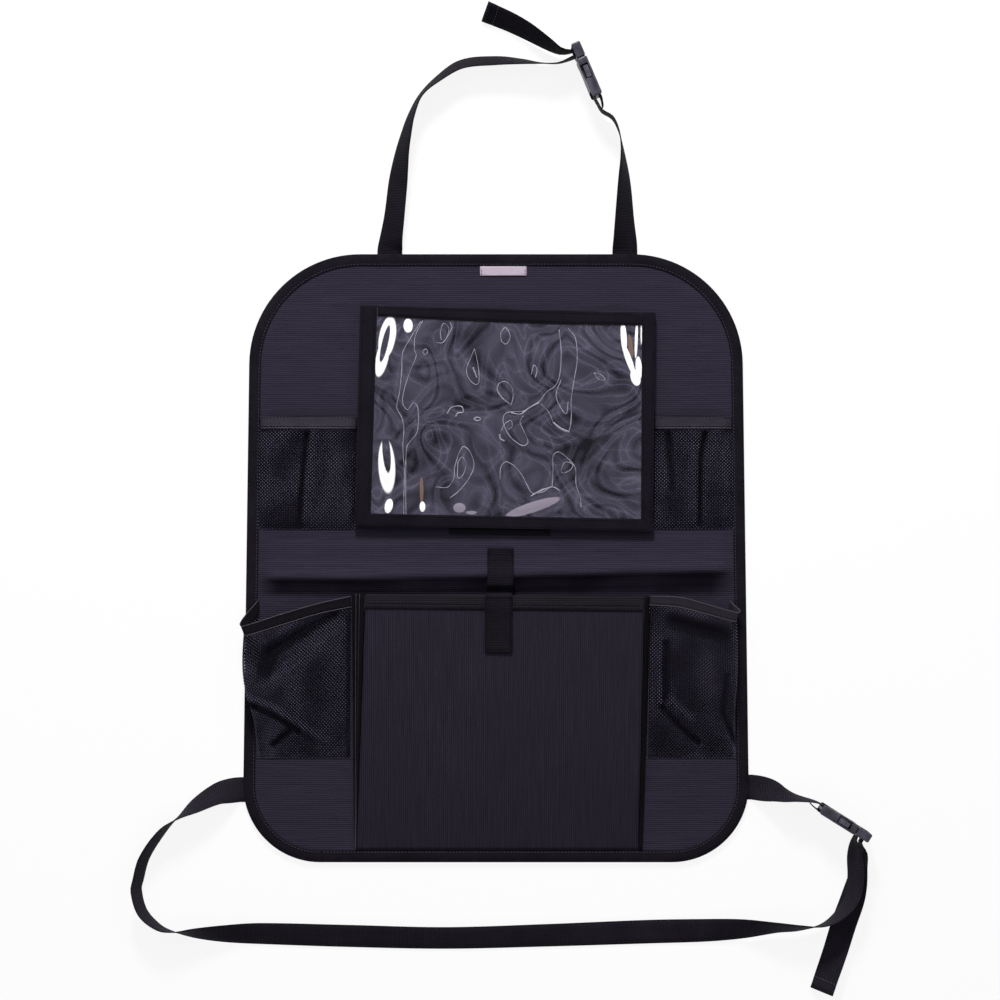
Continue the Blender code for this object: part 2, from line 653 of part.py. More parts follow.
def build_upper_pockets(net_material, hem_material, collection):
    """A pocket between the binding and each side of the tablet sleeve."""
    top = UPPER_POCKET_TOP + HEM_OVERLAP
    bottom = UPPER_POCKET_BOTTOM

    def beside_sleeve(upper, lower, y, gap):
        return lerp(upper, lower, (upper[1] - y) / (upper[1] - lower[1]))[0] + gap

    outer_top, outer_low = (panel_half_width(y, BINDING_WIDTH + SEAT_GAP) for y in (top, bottom))
    top_left, low_left, low_right, top_right = SLEEVE_OUTER
    gap = 2 * SEAT_GAP
    left = (
        (-outer_top, top), (beside_sleeve(top_left, low_left, top, -gap), top),
        (beside_sleeve(top_left, low_left, bottom, -gap), bottom), (-outer_low, bottom),
    )
    right = (
        (beside_sleeve(top_right, low_right, top, gap), top), (outer_top, top),
        (outer_low, bottom), (beside_sleeve(top_right, low_right, bottom, gap), bottom),
    )
    for name, corners, columns, creases in (
        ("upper_left_pocket", left, UPPER_LEFT_COLUMNS, UPPER_LEFT_CREASES),
        ("upper_right_pocket", right, UPPER_RIGHT_COLUMNS, UPPER_RIGHT_CREASES),
    ):
        flat_pocket(name, corners, columns, creases, net_material, hem_material, collection)


def bellows_pocket(name, shape, creases, net_material, hem_material, collection):
    """A net pocket whose outer side stands off the mat on a folded strip and whose front slopes inwards."""
    mouth, seam, span_cells, sections = shape
    stations = smooth_route([(*point, x) for point, x in zip(mouth, seam)], span_cells)
    columns = len(stations) - 1
    side = math.copysign(1, mouth[0][0])

    def surface(u, v):
        index = min(int(u * columns), columns - 1)
        station = lerp(stations[index], stations[index + 1], u * columns - index)
        mouth_x, mouth_y, height, _, _, seam_x = station
        x = mouth_x + (seam_x - mouth_x) * v
        y = mouth_y + (LOWER_POCKET_BOTTOM - mouth_y) * v
        outer = min(max((abs(mouth_x) - LOWER_POCKET_SIDE_FROM) / LOWER_POCKET_SIDE_REACH, 0.0), 1.0)
        outer *= min(height / LOWER_POCKET_FULL_HEIGHT, 1.0) ** 2
        x += side * LOWER_POCKET_SIDE_BULGE * math.sin(math.pi * min(v * 1.45, 1.0)) * outer
        stand = height * (1 - v**3.2) * (1 + LOWER_POCKET_BELLY * math.sin(math.pi * v))
        return x, y, POCKET_BASE + stand + crease_lift(x, y, creases) * min(stand / CREASE_FADE_HEIGHT, 1.0)

    rows, open_cells = net_grid(surface, sections, LOWER_POCKET_ROWS)
    cloth(name, rows, CLOTH_THICKNESS, net_material, collection, open_cells=open_cells)
    rows = []
    for rise in (1.0, 0.5, LOWER_HEM_START):
        rows.append([(x + dx * rise, y + dy * rise, POCKET_BASE + z) for x, y, z, dx, dy, _ in stations])
    cloth(f"{name}_hem", rows, CLOTH_THICKNESS, hem_material, collection)


def centre_pocket_length():
    """From the middle pocket's mouth to its seam in the bottom binding."""
    return CENTRE_POCKET_TOP_LEFT[1] + PANEL_HEIGHT / 2 - BINDING_WIDTH - SEAT_GAP


def centre_pocket_frame(share):
    """Left and right front corners of the middle pocket a share of the way down, and their height."""
    bottom = CENTRE_POCKET_TOP_LEFT[1] - centre_pocket_length()
    left = lerp(CENTRE_POCKET_TOP_LEFT, (CENTRE_POCKET_BOTTOM_LEFT_X, bottom), share)
    right = lerp(CENTRE_POCKET_TOP_RIGHT, (CENTRE_POCKET_BOTTOM_RIGHT_X, bottom), share)
    return left, right, CENTRE_POCKET_DEPTH * (1 - share**2.6) + CENTRE_POCKET_FOOT_LIFT


def centre_front_point(u, share, lift=0.0):
    """A point of the middle pocket's front, which bulges a little between its sides."""
    left, right, height = centre_pocket_frame(share)
    bulge = CENTRE_POCKET_BULGE * math.sin(math.pi * u) ** 0.6 * (1 - share**4)
    return (*lerp(left, right, u), POCKET_BASE + height + bulge + lift)


def build_gusset(name, side, spread, material, collection):
    """A side strip of the middle pocket, folded once between the mat and the front's edge."""
    rows = []
    for j in range(GUSSET_ROWS + 1):
        share = j / GUSSET_ROWS
        left, right, height = centre_pocket_frame(share)
        x, y = left if side < 0 else right
        reach = spread[0] + (spread[1] - spread[0]) * share
        top = GUSSET_TOP_SHARE * max(height - CLOTH_THICKNESS - 2 * SEAT_GAP, 0.0)
        rows.append([
            (x + side * (SEAT_GAP + reach * out), y, POCKET_BASE + top * up)
            for out, up in ((1.0, 0.0), GUSSET_PLEAT, (GUSSET_TOP_REACH, 1.0))
        ])
    cloth(name, rows, CLOTH_THICKNESS, material, collection, (side, 0, 1))


def build_centre_pocket(front_material, tape_material, collection):
    """The middle pocket: a textile front on two folded side strips, with a stitched band at its mouth."""
    size = CENTRE_POCKET_GRID
    start = (CENTRE_HEM_WIDTH - HEM_OVERLAP) / centre_pocket_length()
    shares = [start + (1 - start) * j / size for j in range(size + 1)]
    rows = [[centre_front_point(i / size, share) for i in range(size + 1)] for share in shares]
    cloth("centre_pocket", rows, CLOTH_THICKNESS, front_material, collection)
    end = CENTRE_HEM_WIDTH / centre_pocket_length()
    lap = CLOTH_THICKNESS + SEAT_GAP
    hem_shares = (0.0, end / 2, end)
    rows = [[centre_front_point(i / size, share, lap) for i in range(size + 1)] for share in hem_shares]
    cloth("centre_pocket_hem", rows, CLOTH_THICKNESS, tape_material, collection)
    build_gusset("centre_pocket_left_gusset", -1, LEFT_GUSSET_SPREAD, tape_material, collection)
    build_gusset("centre_pocket_right_gusset", 1, RIGHT_GUSSET_SPREAD, tape_material, collection)


def build_closure(material, collection):
    """The short strap sewn to the mat that crosses the fold and lies down on the middle pocket's front."""

    def front_height(y):
        share = (CENTRE_POCKET_TOP_LEFT[1] - y) / centre_pocket_length()
        left, right, _ = centre_pocket_frame(share)
        return centre_front_point((CLOSURE_CENTRE_X - left[0]) / (right[0] - left[0]), share)[2]

    on_mat = SEWN_Z + CLOSURE_THICKNESS + CLOSURE_SLACK
    on_front = SEAT_GAP + CLOSURE_THICKNESS + CLOSURE_SLACK
    on_hem = on_front + CLOTH_THICKNESS + SEAT_GAP
    hem_low = CENTRE_POCKET_TOP_LEFT[1] - CENTRE_HEM_WIDTH
    path = [(y, on_mat + fold_lift(CLOSURE_CENTRE_X, y)) for y in (CLOSURE_TOP_Y, *FOLD_ROWS_Y[:5])]
    path.append((CLOSURE_DIP[0], on_mat + CLOSURE_DIP[1]))
    path.append((CLOSURE_RISE_Y, front_height(CENTRE_POCKET_TOP_LEFT[1]) + on_hem - CLOSURE_RISE_DROP))
    path += [(y, front_height(y) + on_hem) for y in (CLOSURE_OVER_Y, hem_low)]
    for k in range(1, CLOSURE_FRONT_STEPS + 1):
        y = hem_low + (CLOSURE_END_Y - hem_low) * k / CLOSURE_FRONT_STEPS
        path.append((y, front_height(y) + on_front))
    rows = []
    for y, z in path:
        centre = CLOSURE_CENTRE_X + CLOSURE_SHIFT * ramp(CLOSURE_SHIFT_FROM - y, CLOSURE_SHIFT_REACH)
        rows.append([(centre + side * CLOSURE_WIDTH / 2, y, z) for side in (-1, 0, 1)])
    cloth("closure_strap", rows, CLOSURE_THICKNESS, material, collection)


def strap_section(station, ahead, half_width, half_thickness):
    """Six points round a strap at a station (x, y, roll in degrees, height of its lowest edge)."""
    x, y, roll, rest = station
    roll = math.radians(roll)
    up = Vector((0, 0, 1))
    along = Vector((*ahead, 0)).normalized()
    across = up.cross(along) * math.cos(roll) + up * math.sin(roll)
    normal = along.cross(across)
    z = rest + half_width * abs(math.sin(roll)) + half_thickness * abs(math.cos(roll))
    centre = Vector((x, y, z))
    corners = ((-1, -1), (0, -1), (1, -1), (1, 1), (0, 1), (-1, 1))
    return [tuple(centre + across * half_width * a + normal * half_thickness * b) for a, b in corners]


def strap(name, route, material, collection, hem_end=False):
    """A length of webbing through route points (x, y, roll in degrees, height of its lowest edge)."""
    stations = smooth_route(route, step=STRAP_STEP)
    left_over = [0.0]
    for a, b in zip(stations[::-1], stations[-2::-1]):
        left_over.insert(0, left_over[0] + math.dist(a[:2], b[:2]))
    sections = []
    for i, station in enumerate(stations):
        before, after = stations[max(i - 1, 0)], stations[min(i + 1, len(stations) - 1)]
        ahead = (after[0] - before[0], after[1] - before[1])
        thickness = HEM_FOLD_THICKNESS if hem_end and left_over[i] < HEM_FOLD_LENGTH else WEBBING_THICKNESS
        sections.append(strap_section(station, ahead, WEBBING_WIDTH / 2, thickness / 2))
    webbing = loft(name, sections, material, collection, centre_line=(1, 4))
    shade_round(webbing)


def buckle_frame(name, plug_end, direction, collection):
    """An empty at a buckle's plug end: X along the buckle, Y up across its width, Z through its thickness."""
    frame = bpy.data.objects.new(name, None)
    collection.objects.link(frame)
    along = Vector((*direction, 0)).normalized()
    up = Vector((0, 0, 1))
    rotation = Matrix((along, up, along.cross(up))).transposed()
    frame.rotation_euler = rotation.to_euler()
    frame.location = (*plug_end, BUCKLE_WIDTH / 2)
    return frame


def build_plug(name, frame, material, parts, cutters):
    """The plug: a base whose bar carries the adjustable webbing, a guide tongue and two sprung arms."""
    half_width, half_thick, half_slot = BUCKLE_WIDTH / 2, PLUG_BASE_THICKNESS / 2, BUCKLE_SLOT_WIDTH / 2
    half_arm, half_bar = PLUG_ARM_THICKNESS / 2, BUCKLE_BAR / 2
    low, high = (0, -half_width, -half_thick), (PLUG_BASE_LENGTH, half_width, half_thick)
    plug = box(name, low, high, parts, PLUG_BASE_ROUNDING, material)
    tongue = [*PLUG_TONGUE, *((x, -y) for x, y in PLUG_TONGUE[-2::-1])]
    helpers = [prism(f"{name}_tongue", tongue, -half_arm, half_arm, cutters)]
    for side, word in ((1, "upper"), (-1, "lower")):
        outline = [(x, side * y) for x, y in PLUG_ARM]
        helpers.append(prism(f"{name}_{word}_arm", outline, -half_arm, half_arm, cutters))
    for helper in helpers:
        combine(plug, helper, "UNION")
    near, far = PLUG_BAR_CENTRE - half_bar, PLUG_BAR_CENTRE + half_bar
    start, end = near - BUCKLE_SLOT_LENGTH, far + BUCKLE_SLOT_LENGTH
    beyond = half_thick + CUT_MARGIN
    for k, ((x0, z0), (x1, z1)) in enumerate((
        ((far, -beyond), (end, beyond)), ((start, -beyond), (near, beyond)),
        ((start, half_bar), (end, beyond)), ((start, -beyond), (end, -half_bar)),
    )):
        cutter = box(f"{name}_slot_{k}", (x0, -half_slot, z0), (x1, half_slot, z1), cutters)
        combine(plug, cutter, "DIFFERENCE")
        helpers.append(cutter)
    for obj in (plug, *helpers):
        obj.parent = frame


def build_socket(name, frame, material, parts, cutters):
    """The socket: a shell round the plug's arms, with two thumb windows and a bar for the webbing."""
    half_width, half_thick, half_slot = BUCKLE_WIDTH / 2, BUCKLE_THICKNESS / 2, BUCKLE_SLOT_WIDTH / 2
    low, high = (SOCKET_START, -half_width, -half_thick), (SOCKET_END, half_width, half_thick)
    socket = box(name, low, high, parts, SOCKET_ROUNDING, material)
    bar_start = SOCKET_END - BUCKLE_BAR
    half_bar, beyond = BUCKLE_BAR / 2, half_thick + CUT_MARGIN
    half_cavity, half_high = SOCKET_CAVITY_WIDTH / 2, SOCKET_CAVITY_HEIGHT / 2
    window_start, window_end = SOCKET_WINDOW
    window_floor, window_top = half_width - SOCKET_WINDOW_DEPTH, half_width + CUT_MARGIN
    past_start, past_end = SOCKET_START - CUT_MARGIN, SOCKET_END + CUT_MARGIN
    cuts = (
        ((past_start, -half_cavity, -half_high), (SOCKET_CAVITY_END, half_cavity, half_high)),
        ((window_start, window_floor, -half_high), (window_end, window_top, beyond)),
        ((window_start, -window_top, -half_high), (window_end, -window_floor, beyond)),
        ((bar_start - BUCKLE_SLOT_LENGTH, -half_slot, -beyond), (bar_start, half_slot, beyond)),
        ((bar_start - SEAT_GAP, -half_slot, half_bar), (past_end, half_slot, beyond)),
        ((bar_start - SEAT_GAP, -half_slot, -beyond), (past_end, half_slot, -half_bar)),
    )
    socket.parent = frame
    for k, (low, high) in enumerate(cuts):
        cutter = box(f"{name}_cut_{k}", low, high, cutters)
        cutter.parent = frame
        combine(socket, cutter, "DIFFERENCE")


def build_buckles(material, parts, cutters):
    for word, plug_end, direction in (
        ("top", TOP_BUCKLE_PLUG_END, TOP_BUCKLE_DIRECTION),
        ("lower", LOWER_BUCKLE_PLUG_END, LOWER_BUCKLE_DIRECTION),
    ):
        frame = buckle_frame(f"{word}_buckle_frame", plug_end, direction, parts)
        build_plug(f"{word}_buckle_plug", frame, material, parts, cutters)
        build_socket(f"{word}_buckle_socket", frame, material, parts, cutters)


def on_buckle(plug_end, direction, along, side, roll):
    """A route point in a buckle's frame: along it from the plug's end, to the side, at webbing height."""
    x, y = Vector(direction).normalized()
    return plug_end[0] + x * along + y * side, plug_end[1] + y * along - x * side, roll, BUCKLE_REST


def turn_round_bar(plug_end, direction, bar_along, start, end, roll):
    """Route points round a bar, on edge, from one angle in the buckle's plan to another, in degrees."""
    points = []
    steps = 6
    for k in range(steps + 1):
        angle = math.radians(start + (end - start) * k / steps)
        along = bar_along + WEBBING_TURN_RADIUS * math.cos(angle)
        points.append(on_buckle(plug_end, direction, along, WEBBING_TURN_RADIUS * math.sin(angle), roll))
    return points


def sewn_start(x, y, out_x, out_y):
    """Route points of a strap's flat end under the mat and just past its edge."""
    reaches = (-STRAP_SEWN_LENGTH, 0.0, STRAP_STRAIGHT_LENGTH)
    return [(x + out_x * reach, y + out_y * reach, 0.0, 0.0) for reach in reaches]


def build_top_straps(material, collection):
    """The headrest strap: the long length through the plug with its free tail, and the short sewn length."""
    buckle = (TOP_BUCKLE_PLUG_END, TOP_BUCKLE_DIRECTION)
    bar, turn = PLUG_BAR_CENTRE, WEBBING_TURN_RADIUS
    strap("top_strap_long", [
        *sewn_start(TOP_STRAP_LEFT_X, PANEL_HEIGHT / 2, 0, 1),
        (-0.1050, 0.3182, -20, 0.0), (-0.1015, 0.3420, -33, 0.0), (-0.0980, 0.3740, -38, 0.0),
        (-0.0960, 0.3900, -45, 0.0), (-0.0935, 0.4060, -54, 0.0), (-0.0900, 0.4220, -62, 0.0),
        (-0.0845, 0.4420, -71, 0.0), (-0.0750, 0.4620, -77, 0.0), (-0.0575, 0.4785, -69, 0.0),
        (-0.0340, 0.4930, -61, 0.0), (0.0000, 0.4965, -61, 0.0), (0.0260, 0.4955, -70, 0.0005),
        (0.0440, 0.4937, -79, 0.0015), (0.0620, 0.4935, -84, 0.0025),
        on_buckle(*buckle, bar + turn, 0.0085, -90),
        *turn_round_bar(*buckle, bar, 0, -180, -90),
        on_buckle(*buckle, bar - turn, 0.0070, -90),
        (0.0640, 0.5055, -82, 0.0025), (0.0530, 0.5120, -70, 0.0015), (0.0320, 0.5255, -55, 0.0005),
        (0.0140, 0.5352, -48, 0.0), (-0.0110, 0.5460, -42, 0.0),
    ], material, collection, hem_end=True)
    bar = SOCKET_BAR_CENTRE
    strap("top_strap_short", [
        *sewn_start(TOP_STRAP_RIGHT_X, PANEL_HEIGHT / 2, 0, 1),
        (0.1290, 0.3182, 18, 0.0), (0.1285, 0.3340, 34, 0.0), (0.1283, 0.3500, 44, 0.0),
        (0.1282, 0.3660, 52, 0.0), (0.1278, 0.3820, 62, 0.0), (0.1272, 0.3960, 73, 0.0),
        (0.1258, 0.4100, 82, 0.0008), (0.1225, 0.4260, 88, 0.0020), (0.1160, 0.4390, 90, BUCKLE_REST),
        on_buckle(*buckle, bar + 0.0165, 0.0012, 90),
        on_buckle(*buckle, bar + 0.0080, 0.0024, 90),
        *turn_round_bar(*buckle, bar, 90, 270, 90),
        on_buckle(*buckle, bar + 0.0060, -0.0030, 90),
        on_buckle(*buckle, bar + 0.0130, -0.0012, 90),
    ], material, collection)


def build_lower_straps(material, collection):
    """The backrest strap: the long length below the mat and through the plug, and the short length."""
    buckle = (LOWER_BUCKLE_PLUG_END, LOWER_BUCKLE_DIRECTION)
    bar, turn = PLUG_BAR_CENTRE, WEBBING_TURN_RADIUS
    strap("lower_strap_long", [
        *sewn_start(-panel_half_width(SIDE_STRAP_LEFT_Y), SIDE_STRAP_LEFT_Y, -1, 0),
        (-0.2655, -0.2325, 14, 0.0), (-0.2780, -0.2350, 34, 0.0), (-0.3000, -0.2468, 58, 0.0),
        (-0.3150, -0.2570, 84, 0.0), (-0.3320, -0.2712, 104, 0.0), (-0.3505, -0.2982, 110, 0.0),
        (-0.3570, -0.3210, 110, 0.0), (-0.3588, -0.3312, 109, 0.0), (-0.3523, -0.3532, 105, 0.0),
        (-0.3360, -0.3682, 95, 0.0), (-0.3210, -0.3727, 82, 0.0), (-0.3010, -0.3740, 60, 0.0),
        (-0.2730, -0.3748, 44, 0.0), (-0.2360, -0.3750, 32, 0.0), (-0.1500, -0.3775, 35, 0.0),
        (-0.0500, -0.3795, 39, 0.0), (0.0500, -0.3770, 28, 0.0), (0.1540, -0.3735, 12, 0.0),
        (0.2080, -0.3720, 20, 0.0005), (0.2450, -0.3700, 36, 0.0015), (0.2800, -0.3682, 60, 0.0025),
        (0.3035, -0.3682, 76, 0.0030), (0.3250, -0.3655, 90, 0.0030), (0.3410, -0.3560, 104, 0.0030),
        (0.3545, -0.3390, 118, 0.0035), (0.3585, -0.3180, 125, 0.0040), (0.3575, -0.2980, 122, 0.0040),
        (0.3570, -0.2860, 108, 0.0035),
        on_buckle(*buckle, bar + turn, -0.0080, 92),
        *turn_round_bar(*buckle, bar, 0, 180, 90),
        on_buckle(*buckle, bar - turn, -0.0080, 90),
        (0.3655, -0.2930, 76, 0.0018), (0.3630, -0.3080, 60, 0.0), (0.3600, -0.3250, 40, 0.0),
        (0.3560, -0.3420, 22, 0.0), (0.3485, -0.3640, 12, 0.0), (0.3385, -0.3950, 20, 0.0),
        (0.3290, -0.4220, 26, 0.0), (0.3252, -0.4330, 26, 0.0),
    ], material, collection, hem_end=True)
    bar = SOCKET_BAR_CENTRE
    strap("lower_strap_short", [
        *sewn_start(panel_half_width(SIDE_STRAP_RIGHT_Y), SIDE_STRAP_RIGHT_Y, 1, 0),
        (0.2665, -0.2305, -14, 0.0), (0.2780, -0.2325, -38, 0.0), (0.2880, -0.2360, -60, 0.0005),
        (0.2990, -0.2385, -78, 0.0018),
        on_buckle(*buckle, bar + 0.0080, 0.0024, -90),
        *turn_round_bar(*buckle, bar, 90, 270, -90),
        on_buckle(*buckle, bar + 0.0050, -0.0033, -90),
        on_buckle(*buckle, bar + 0.0110, -0.0022, -90),
    ], material, collection)


def build_part():
    clear_scene()
    parts = new_collection("car_seat_protector")
    cutters = new_collection("cutters")
    textile = new_material("textile", (0.026, 0.022, 0.032), 0.85)
    tape = new_material("black_tape", (0.010, 0.009, 0.011), 0.75)
    hem_tape = new_material("hem_tape", (0.055, 0.046, 0.050), 0.75)
    net = new_material("black_net", (0.009, 0.009, 0.013), 0.8)
    film = new_material("clear_film", (0.75, 0.75, 0.8), 0.08, transmission=0.95)
    webbing = new_material("webbing", (0.014, 0.012, 0.018), 0.7)
    plastic = new_material("black_plastic", (0.03, 0.028, 0.036), 0.35)
    label = new_material("label_cloth", (0.46, 0.36, 0.46), 0.6)
    panel = build_panel(textile, parts)
    binding = build_binding(tape, parts)
    cut_strap_recesses((panel, binding), cutters)
    build_label(label, parts)
    build_window_frame(tape, parts)
    build_window_band(tape, parts)
    build_window_film(film, parts)
    build_window_tab(tape, parts)
    build_upper_pockets(net, hem_tape, parts)
    left_shape = (LEFT_MOUTH, LEFT_SEAM, LEFT_SPAN_CELLS, LEFT_NET_SECTIONS)
    right_shape = (RIGHT_MOUTH, RIGHT_SEAM, RIGHT_SPAN_CELLS, RIGHT_NET_SECTIONS)
    bellows_pocket("lower_left_pocket", left_shape, LOWER_LEFT_CREASES, net, tape, parts)
    bellows_pocket("lower_right_pocket", right_shape, LOWER_RIGHT_CREASES, net, tape, parts)
    build_centre_pocket(textile, tape, parts)
    build_closure(webbing, parts)
    build_buckles(plastic, parts, cutters)
    build_top_straps(webbing, parts)
    build_lower_straps(webbing, parts)


build_part()
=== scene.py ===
# Looks for the car seat protector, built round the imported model. Lengths are metres in the model's own frame:
# +Z up to the camera, +Y to the headrest strap, the origin at the centre of the mat's back face.
import math

import bpy
import numpy as np
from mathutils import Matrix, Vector, noise


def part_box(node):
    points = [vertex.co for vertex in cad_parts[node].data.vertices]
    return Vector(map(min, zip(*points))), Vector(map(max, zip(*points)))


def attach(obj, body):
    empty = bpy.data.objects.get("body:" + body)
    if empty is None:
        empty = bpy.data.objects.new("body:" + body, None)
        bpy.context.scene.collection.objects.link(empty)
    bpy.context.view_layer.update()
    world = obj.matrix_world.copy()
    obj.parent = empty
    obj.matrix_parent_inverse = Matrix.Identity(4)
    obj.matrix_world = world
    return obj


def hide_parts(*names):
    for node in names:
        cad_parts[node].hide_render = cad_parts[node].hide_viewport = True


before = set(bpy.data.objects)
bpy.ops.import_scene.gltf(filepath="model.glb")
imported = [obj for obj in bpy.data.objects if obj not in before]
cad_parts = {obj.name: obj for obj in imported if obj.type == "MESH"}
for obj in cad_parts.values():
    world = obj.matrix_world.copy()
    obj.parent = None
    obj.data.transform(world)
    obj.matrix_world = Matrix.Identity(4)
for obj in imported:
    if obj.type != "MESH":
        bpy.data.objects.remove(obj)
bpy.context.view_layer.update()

# The mat
PANEL_TOP_WIDTH = 0.491
PANEL_BOTTOM_WIDTH = 0.508
PANEL_HEIGHT = 0.6085
TOP_CORNER_RADIUS = 0.111
BOTTOM_CORNER_RADIUS = 0.077
PANEL_TOP = 0.0028
PANEL_EDGE_THICKNESS = 0.0012
FIELD_INSET = 0.015
RIM_INSETS = (0.0126, 0.0009)
BINDING_WIDTH = 0.012
BINDING_HEIGHT = 0.0036
BINDING_RIPPLE = 0.00018
BINDING_STITCHES = 0.0102
TAPE_THICKNESS = 0.0006
FOLD_Y = -0.0168
FOLD_LEAN = 0.022
FOLD_PROFILE = (
    (0.0400, 0.0), (0.0300, 0.0014), (0.0200, 0.0022), (0.0110, 0.0042), (0.0030, 0.0072), (0.0, 0.0078),
    (-0.0014, 0.0062), (-0.0040, 0.0042), (-0.0110, 0.0020), (-0.0175, 0.0),
)
FOLD_END_REACH = 0.016
PUCKER_PITCH = 0.0105
PUCKER_DEPTH = 0.0003
SLACK_DEPTH = 0.0006
RIM_TOP = 0.0027
CORNER_STEPS = 26
SIDE_STEP = 0.0024
PANEL_COLUMNS = 96
SHARES = np.linspace(-1, 1, PANEL_COLUMNS + 1)

SEAT_GAP = 0.0003
CLOTH = 0.0008
SEWN_Z = 0.0031
POCKET_BASE = 0.0039
HEM_OVERLAP = 0.003

# Tablet sleeve
SLEEVE_OUTER = ((-0.1355, 0.2525), (-0.1410, 0.0322), (0.1568, 0.0270), (0.1592, 0.2448))
SLEEVE_INNER = ((-0.1185, 0.2425), (-0.1250, 0.0448), (0.1446, 0.0393), (0.1458, 0.2320))
SLEEVE_WALL = 0.0009
FILM_LOW, FILM_HIGH, TAPE_LOW, TAPE_HIGH = 0.0093, 0.0096, 0.0099, 0.0107
TOP_BAND_DIP = 0.0018
FRAME_STEP = 0.004
FRAME_RIPPLE = 0.00025
BAND_RIPPLE = 0.0002
MITRE_DIP = 0.0003
FILM_GRID = (124, 170)
TAB_X = 0.0040
TAB_LENGTH = 0.101
TAB_WIDTH = 0.006

# Net pockets: a fold in a net is its line of points, how far it reaches and its height
NET_LEAST_RISE = 0.0012
BUNCHING_FOLD = 0.004

# Upper net pockets
UPPER_TOP = 0.1342
UPPER_BOTTOM = 0.0300
UPPER_DEPTH = 0.0068
UPPER_HEM_WIDTH = 0.011
UPPER_HEM_SAG = 0.0015
UPPER_LEFT_FOLDS = (
    (((-0.1888, 0.1250), (-0.1915, 0.1000), (-0.1970, 0.0310)), 0.0050, -0.0056),
    (((-0.1820, 0.1280), (-0.1850, 0.1000), (-0.1900, 0.0400)), 0.0075, 0.0026),
    (((-0.2320, 0.1100), (-0.2050, 0.1280)), 0.0100, 0.0020),
    (((-0.1600, 0.0900), (-0.1750, 0.0400)), 0.0110, 0.0018),
)
UPPER_RIGHT_FOLDS = (
    (((0.2085, 0.1250), (0.2043, 0.1020), (0.2036, 0.0340)), 0.0045, -0.0056),
    (((0.1975, 0.1280), (0.1965, 0.0500)), 0.0070, 0.0024),
    (((0.1720, 0.1240), (0.1760, 0.0700)), 0.0060, -0.0036),
    (((0.2200, 0.1250), (0.2130, 0.0900)), 0.0080, 0.0022),
)

# Lower net pockets: mouth points are x, y, height and the hem's rise in x and y
LEFT_MOUTH = (
    (-0.2372, -0.0580, 0.0000, 0.0000, 0.0165),
    (-0.2478, -0.0690, 0.0100, -0.0030, 0.0110),
    (-0.2507, -0.0744, 0.0152, -0.0040, 0.0094),
    (-0.2492, -0.0769, 0.0167, -0.0034, 0.0094),
    (-0.2130, -0.0662, 0.0140, 0.0000, 0.0110),
    (-0.1760, -0.0552, 0.0100, 0.0000, 0.0105),
    (-0.1450, -0.0490, 0.0025, 0.0000, 0.0110),
)
LEFT_SEAM = (-0.2397, -0.2376, -0.2358, -0.2340, -0.2120, -0.1760, -0.1460)
RIGHT_MOUTH = (
    (0.2345, -0.0580, 0.0000, -0.0010, 0.0155),
    (0.2385, -0.0600, 0.0070, 0.0030, 0.0100),
    (0.2395, -0.0614, 0.0102, 0.0038, 0.0094),
    (0.2383, -0.0632, 0.0117, 0.0030, 0.0090),
    (0.2140, -0.0568, 0.0120, 0.0000, 0.0100),
    (0.1830, -0.0488, 0.0105, 0.0000, 0.0100),
    (0.1535, -0.0468, 0.0050, 0.0000, 0.0090),
)
RIGHT_SEAM = (0.2397, 0.2379, 0.2362, 0.2344, 0.2140, 0.1830, 0.1520)
LOWER_LEFT_FOLDS = (
    (((-0.1640, -0.0540), (-0.1930, -0.0720), (-0.2245, -0.0924), (-0.2290, -0.1100)), 0.0105, -0.0072),
    (((-0.1560, -0.0700), (-0.1900, -0.1000), (-0.2300, -0.1290)), 0.0120, 0.0030),
    (((-0.2500, -0.1373), (-0.2233, -0.1482), (-0.2002, -0.1638), (-0.1700, -0.1830)), 0.0065, 0.0040),
    (((-0.2450, -0.1440), (-0.2200, -0.1560), (-0.1970, -0.1710)), 0.0060, -0.0048),
    (((-0.2220, -0.1850), (-0.2060, -0.1720)), 0.0060, -0.0040),
    (((-0.1440, -0.0620), (-0.1450, -0.1950)), 0.0070, -0.0060),
)
LOWER_RIGHT_FOLDS = (
    (((0.1700, -0.0850), (0.1690, -0.1400)), 0.0062, -0.0060),
    (((0.1630, -0.0800), (0.1640, -0.1450)), 0.0050, 0.0026),
    (((0.1655, -0.1478), (0.1850, -0.1688), (0.2020, -0.1833)), 0.0048, -0.0056),
    (((0.1720, -0.1400), (0.1950, -0.1600)), 0.0080, 0.0028),
    (((0.2300, -0.1170), (0.2260, -0.1530), (0.2400, -0.1860)), 0.0048, -0.0036),
    (((0.1780, -0.0620), (0.2250, -0.0740)), 0.0120, -0.0060),
    (((0.1510, -0.0600), (0.1465, -0.1950)), 0.0070, -0.0060),
)
LOWER_BOTTOM = -0.1992
LOWER_HEM_FOOT = 0.07
# The folded outer side of a lower pocket bulges where the mouth is this far out and this high
BELLOWS_X = 0.225
BELLOWS_REACH = 0.020
BELLOWS_HEIGHT = 0.0165
BELLOWS_BULGE = 0.0058
LOOSE_HEIGHT = 0.006
NET_HALF_PITCH = 0.0017
NET_STRAND_RADIUS = 0.00047
NET_KNOT_RADIUS = 0.00081
KNOT_FACES = ((0, 1, 2), (1, 3, 2), (3, 4, 2), (4, 0, 2), (1, 0, 5), (3, 1, 5), (4, 3, 5), (0, 4, 5))

